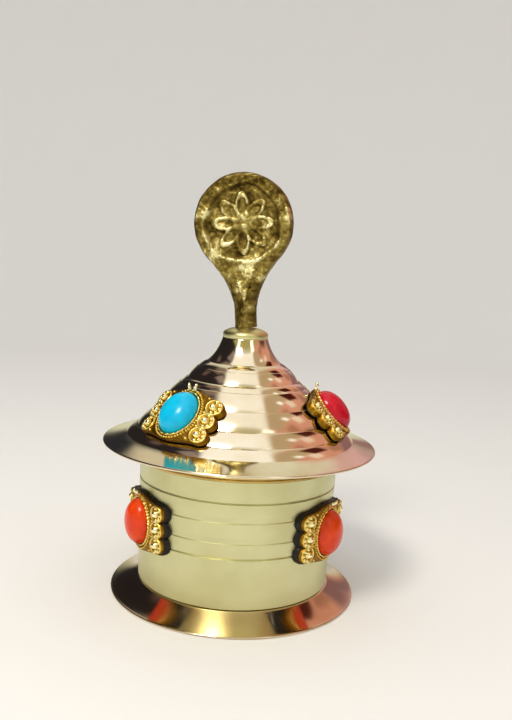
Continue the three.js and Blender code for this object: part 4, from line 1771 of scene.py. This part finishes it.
    def brass_below(self, flat: Array) -> Array:
        """Return the height in the setting's frame at which the brass lies under points.

        The distance out of the brass is the radius less the profile's at that height. It is
        halved thirty times between deep inside and clear outside.

        Args:
            flat: Points of (x, y) in the setting's frame.

        Returns:
            The brass's height under each point.
        """
        low, high = (np.full(len(flat), value) for value in self.pad_foot)
        for _ in range(30):
            middle = (low + high) / 2
            spot = self.place(np.concatenate([flat, middle[:, None]], axis=-1))
            brass = np.interp(spot[:, 2], self.profile[::-1, 1], self.profile[::-1, 0])
            out = np.hypot(spot[:, 0], spot[:, 1]) > brass + self.pad_lift
            low, high = np.where(out, low, middle), np.where(out, middle, high)
        return high

    def pad_height(self, flat: Array) -> Array:
        """Return the height of the pad's bent face at points."""
        level = np.full((len(flat), 1), self.pad_face)
        return self.bent(np.concatenate([flat, level], axis=-1))[:, 2]

    def pad(self) -> Grid:
        """Make the pad: a flat face, a rounded edge, a side down to the brass, a fitted back.

        Returns:
            The closed surface.
        """
        edge = self.outline(self.pad_margin, 240) * self.pad_share
        rows, heights = [], []
        flat = [(share, 0.0) for share in (0.0, 0.3, 0.6, 0.8, 0.93)]
        for share, drop in (*flat, (0.975, 0.03), (0.995, 0.12)):
            rows.append(edge * share)
            heights.append(self.pad_height(edge * share) - drop)
        foot = self.brass_below(edge)
        sunk = self.bent(np.concatenate([edge, 0 * edge[:, :1]], axis=-1))[:, 2]
        uneven = 1 + 0.012 * np.sin(np.linspace(0, 22 * np.pi, len(edge)))[:, None]
        for t in (0.1, 0.4, 0.7, 0.92):
            rows.append(edge * (1 + (uneven - 1) * math.sin(math.pi * t)))
            heights.append((self.pad_face - 0.25 + sunk) * (1 - t) + foot * t)
        for share in (1.0, 0.9, 0.8, 0.65, 0.5, 0.35, 0.2, 0.1, 0.0):
            rows.append(edge * share)
            heights.append(self.brass_below(edge * share))
        points = np.concatenate([np.stack(rows), np.stack(heights)[..., None]], axis=-1)
        return Grid(self.place(points), rows_close=False)

    def build(self) -> None:
        """Lay the pad, stand the setting on it and drop in the stone."""
        self.add(self.name("bedding"), self.pad(), self.body, self.name("pad"), crease=50)
        self.add(self.name("gilt_setting"), [self.setting(), *self.claws()], self.body,
                 self.name("setting"), crease=70)
        self.add(self.name("cabochon"), self.cabochon(), self.body, self.name("stone"))

    def name(self, kind: str) -> str:
        """Name a piece or a node for its tier and number."""
        return f"{self.tier}_{kind}_{self.number}"

    def dress(self) -> None:
        """Finish the pad, the setting and the stone."""
        self.finish(NearBlackPad(), self.name("bedding"))
        self.finish(GiltStamping(), self.name("gilt_setting"))
        self.finish(Cabochon(self.colour), self.name("cabochon"))


# ---- Studio --------------------------------------------------------------------------------


@dataclass(frozen=True)
class Card:
    """A soft-edged card of the studio's tent, by where it is seen from the object.

    Side is how far to the right of the front-to-back plane it stands, and pitch how far
    over from the front horizon, so that 90 is overhead and 180 the back horizon. Taper is
    the share of its half width that it loses over each degree of pitch.
    """

    side: float
    pitch: float
    half_width: float
    half_height: float
    colour: str
    strength: float = 1.0
    softness: float = 3.0
    taper: float = 0.0

    def mask(self, side: Array, pitch: Array) -> Array:
        """Return the card's share of the light from each direction.

        Args:
            side: How far right each direction is.
            pitch: How far over it is.

        Returns:
            A share from 0 to 1 for each direction.
        """
        half = self.half_width * np.clip(1 - self.taper * (pitch - self.pitch), 0.05, 3)
        across, over = np.abs(side - self.side), np.abs(pitch - self.pitch)
        soft = self.softness
        return ((1 - smooth(across - half, -soft, soft))
                * (1 - smooth(over - self.half_height, -soft, soft)))


@dataclass
class Studio:
    """A pale floor, a tent of cards that only gloss shows, soft lights and the camera."""

    floor_radius: float = 900.0
    floor_bend: float = 400.0
    floor_drop: float = 0.02
    wall_height: float = 900.0
    tent_radius: float = 500.0
    target: float = 30.0
    lens: float = 39.756
    camera_place: tuple[float, float, float] = (0.0, -182.194, 77.1)
    camera_turn: tuple[float, float, float] = (82.788, -3.279, -0.444)
    low: str = "d6d4b4"
    high: str = "e8e2cc"
    cards: tuple[Card, ...] = (
        Card(-70, 105, 50, 72, "292426", 1.0, 5),  # the dark side of the room
        Card(-30, 76, 6, 13, "94807a"),
        Card(-23, 104, 6, 9, "8a7468"),
        Card(-38, 118, 5, 6, "6a5650"),
        Card(48, 105, 30, 72, "dc9c86", 1.0, 5),  # the warm side
        Card(42, 104, 6, 7, "f4d8c2"),
        Card(52, 76, 9, 9, "b98068", 1.0, 4),
        Card(38, 138, 6, 8, "b07c68"),
        Card(27, 88, 10, 28, "c0a684", 1.0, 4, 0.0153),
        Card(32, 117, 6.5, 9, "4a160c", 1.0, 1.5),
        Card(34, 91, 3, 3.5, "fffaf0", 1.2, 2),
        Card(88, 90, 28, 180, "54463a", 1.0, 5),
        Card(36, 160, 20, 13, "8e6a6c", 1.0, 5),
        Card(0, 150, 21, 16, "ddd2ba", 1.0, 4),  # the back wall
        Card(-15, 157, 9, 11, "2a2a30"),
        Card(-5, 166, 6, 8, "3c443e"),
        Card(16, 151, 9, 10, "dcb0ae", 1.0, 4),
        Card(10, 164, 9, 9, "8c6668"),
        Card(-1.25, 84, 19.75, 31, "fffaf2", 1.1, 2.5, 0.0153),  # the bright ceiling
        Card(-2, 53, 30, 3, "cbc2a4", 1.0, 4),
        Card(0, 38, 60, 11, "b0a468", 1.0, 5),  # the olive wall in front, with two windows
        Card(-25, 43, 5, 14, "fffdf4", 1.6, 2),
        Card(27, 43, 6, 14, "fffdf4", 1.6, 2),
    )

    def floor(self) -> None:
        """Lay a round floor whose edge sweeps up to a wall."""
        bend, level = self.floor_bend, -self.floor_drop
        profile = np.vstack([
            [[0, level], [200, level]],
            arc((self.floor_radius - bend, bend + level), bend, -np.pi / 2, 0, 24),
            [[self.floor_radius, self.wall_height]],
        ])
        r, z = profile[None, :, 0], profile[None, :, 1]
        self.stage_piece("studio_floor", round_axis(r, circle(128), z), self.paper())

    def paper(self) -> bpy.types.Material:
        """Make the pale paper of the floor.

        Returns:
            The material.
        """
        material = bpy.data.materials.new("studio_paper")
        material.use_nodes = True
        shader = material.node_tree.nodes["Principled BSDF"]
        shader.inputs["Base Color"].default_value = linear("efeeec")
        shader.inputs["Roughness"].default_value = 0.9
        return material

    def stage_piece(self, name: str, points: Array, material: bpy.types.Material
                    ) -> bpy.types.Object:
        """Make an open grid for the studio, facing inwards.

        Args:
            name: The object's name.
            points: The grid's points.
            material: What it is made of.

        Returns:
            The object.
        """
        grid = Grid(points, columns_close=False)
        mesh = bpy.data.meshes.new(name)
        corners, quads, triangles, _ = weld(points.reshape(-1, 3) * MM, grid.quads())
        mesh.from_pydata(corners.tolist(), [], quads.tolist() + triangles.tolist())
        mesh.materials.append(material)
        mesh.polygons.foreach_set("use_smooth", np.ones(len(mesh.polygons), dtype=bool))
        piece = add_object(name, mesh)
        return piece

    def tent_colours(self, spots: Array) -> Array:
        """Return the tent's colour in each direction: a sky with the cards laid over it.

        Args:
            spots: Places on the tent, one row each.

        Returns:
            Linear red, green and blue for each place.
        """
        x, y, z = (spots / np.linalg.norm(spots, axis=1, keepdims=True)).T
        side, pitch = np.degrees(np.arcsin(x)), np.degrees(np.arctan2(z, -y))
        share = smooth(z, 0, 1)[:, None]
        colour = np.array(linear(self.low)[:3]) * (1 - share)
        colour = colour + np.array(linear(self.high)[:3]) * share
        for card in self.cards:
            mask = card.mask(side, pitch)[:, None]
            tone = np.array(linear(card.colour)[:3]) * card.strength
            colour = colour * (1 - mask) + tone * mask
        return colour

    def tent(self) -> None:
        """Pitch the tent: a dome of cards that gloss alone can see."""
        azimuth = np.linspace(0, 360, 720, endpoint=False)[:, None]
        elevation = np.linspace(-1, 90, 183)[None]
        a, e = np.radians(azimuth), np.radians(elevation)
        points = self.tent_radius * np.stack([
            np.cos(e) * np.sin(a), -np.cos(e) * np.cos(a), np.sin(e) + 0 * a], axis=-1)
        points[:, -1] = points[0, -1]
        material = bpy.data.materials.new("studio_tent")
        material.use_nodes = True
        tree = material.node_tree
        tree.nodes.clear()
        tone = add_node(tree, "Attribute", attribute_name="tone").outputs["Color"]
        glow = add_node(tree, "Emission", {"Color": tone})
        add_node(tree, "OutputMaterial", {"Surface": glow})
        piece = self.stage_piece("studio_tent", points, material)
        mesh = piece.data
        spots = np.empty(len(mesh.vertices) * 3, dtype=np.float32)
        mesh.vertices.foreach_get("co", spots)
        colours = self.tent_colours(spots.reshape(-1, 3))
        whole = np.concatenate([colours, np.ones((len(colours), 1))], axis=-1)
        mesh.attributes.new("tone", "FLOAT_COLOR", "POINT").data.foreach_set(
            "color", whole.astype(np.float32).ravel())
        piece.visible_camera = piece.visible_diffuse = piece.visible_shadow = False
        piece.visible_transmission = piece.visible_volume_scatter = False

    def lamp(self, name: str, place: tuple[float, float, float], size: float, power: float,
             colour: str) -> None:
        """Hang a square soft light that looks at the object.

        Args:
            name: The lamp's name.
            place: Where it hangs.
            size: Its side.
            power: Its power in watts.
            colour: Its colour in hex.
        """
        light = bpy.data.lights.new(name, "AREA")
        light.size = size * MM
        light.energy = power
        light.color = linear(colour)[:3]
        lamp = add_object(name, light)
        lamp.location = np.array(place) * MM
        away = lamp.location.copy()
        away.z -= self.target * MM
        lamp.rotation_euler = away.to_track_quat("Z", "Y").to_euler()
        lamp.visible_camera = False

    def lights(self) -> None:
        """Hang a key over the left shoulder, and fill the room with even light."""
        self.lamp("key_light", (-130, -260, 380), 110, 1.1, "fff6ea")
        world = bpy.data.worlds.new("studio_room")
        world.use_nodes = True
        sky = world.node_tree.nodes["Background"]
        sky.inputs["Color"].default_value = linear("fbfaf8")
        sky.inputs["Strength"].default_value = 0.85
        bpy.context.scene.world = world

    def camera(self) -> None:
        """Stand the camera in front, a little above, and slightly turned."""
        data = bpy.data.cameras.new("studio_camera")
        data.lens = self.lens
        data.clip_start = 0.01
        camera = add_object("studio_camera", data)
        camera.location = np.array(self.camera_place) * MM
        camera.rotation_euler = np.radians(self.camera_turn)
        bpy.context.scene.camera = camera

    def set_up(self) -> None:
        """Lay the floor, pitch the tent, hang the lights and stand the camera."""
        self.camera()
        self.floor()
        self.tent()
        self.lights()
        bpy.context.scene.view_settings.view_transform = "Standard"
        LOG.info("studio set up")


# ---- The object ----------------------------------------------------------------------------


def stones(drum: Drum, roof: Roof) -> list[Stone]:
    """Set out the six stones, three round the drum and three round the roof.

    Args:
        drum: The drum that three of them stand on.
        roof: The roof that the others stand on.

    Returns:
        The six stones.
    """
    thirds = (0, 120, 240)
    first_on_drum, rise_on_drum = -61.5, 14.8
    first_on_roof, rise_on_roof = -39.0, 6.2
    shell = Extent.of("roof_shell")
    cone_foot = shell.top - roof.neck_rise - roof.cone_rise
    on_drum = [
        Stone(tier="drum", number=i + 1, azimuth=first_on_drum + turn,
              height=Extent.of("drum_shell").foot + rise_on_drum, body="wheel",
              profile=drum.outside())
        for i, turn in enumerate(thirds)]
    colours = (StoneColour.TURQUOISE, StoneColour.RED, StoneColour.TURQUOISE)
    on_roof = [
        Stone(tier="roof", number=i + 1, azimuth=first_on_roof + turn,
              height=cone_foot + rise_on_roof, body="roof", profile=roof.outside(),
              colour=colour, lip=0.75, pad_margin=-0.1, pad_share=0.93)
        for i, (turn, colour) in enumerate(zip(thirds, colours))]
    return on_drum + on_roof


def main() -> None:
    """Set up the studio, then build and dress each sub-assembly in order."""
    logging.basicConfig(level=logging.INFO, format="%(message)s")
    Studio().set_up()
    drum, roof = Drum(), Roof()
    for part in [Base(), Hardware(), drum, Scroll(), roof, Finial(), *stones(drum, roof)]:
        part.build()
        part.dress()


if __name__ == "__main__":
    main()
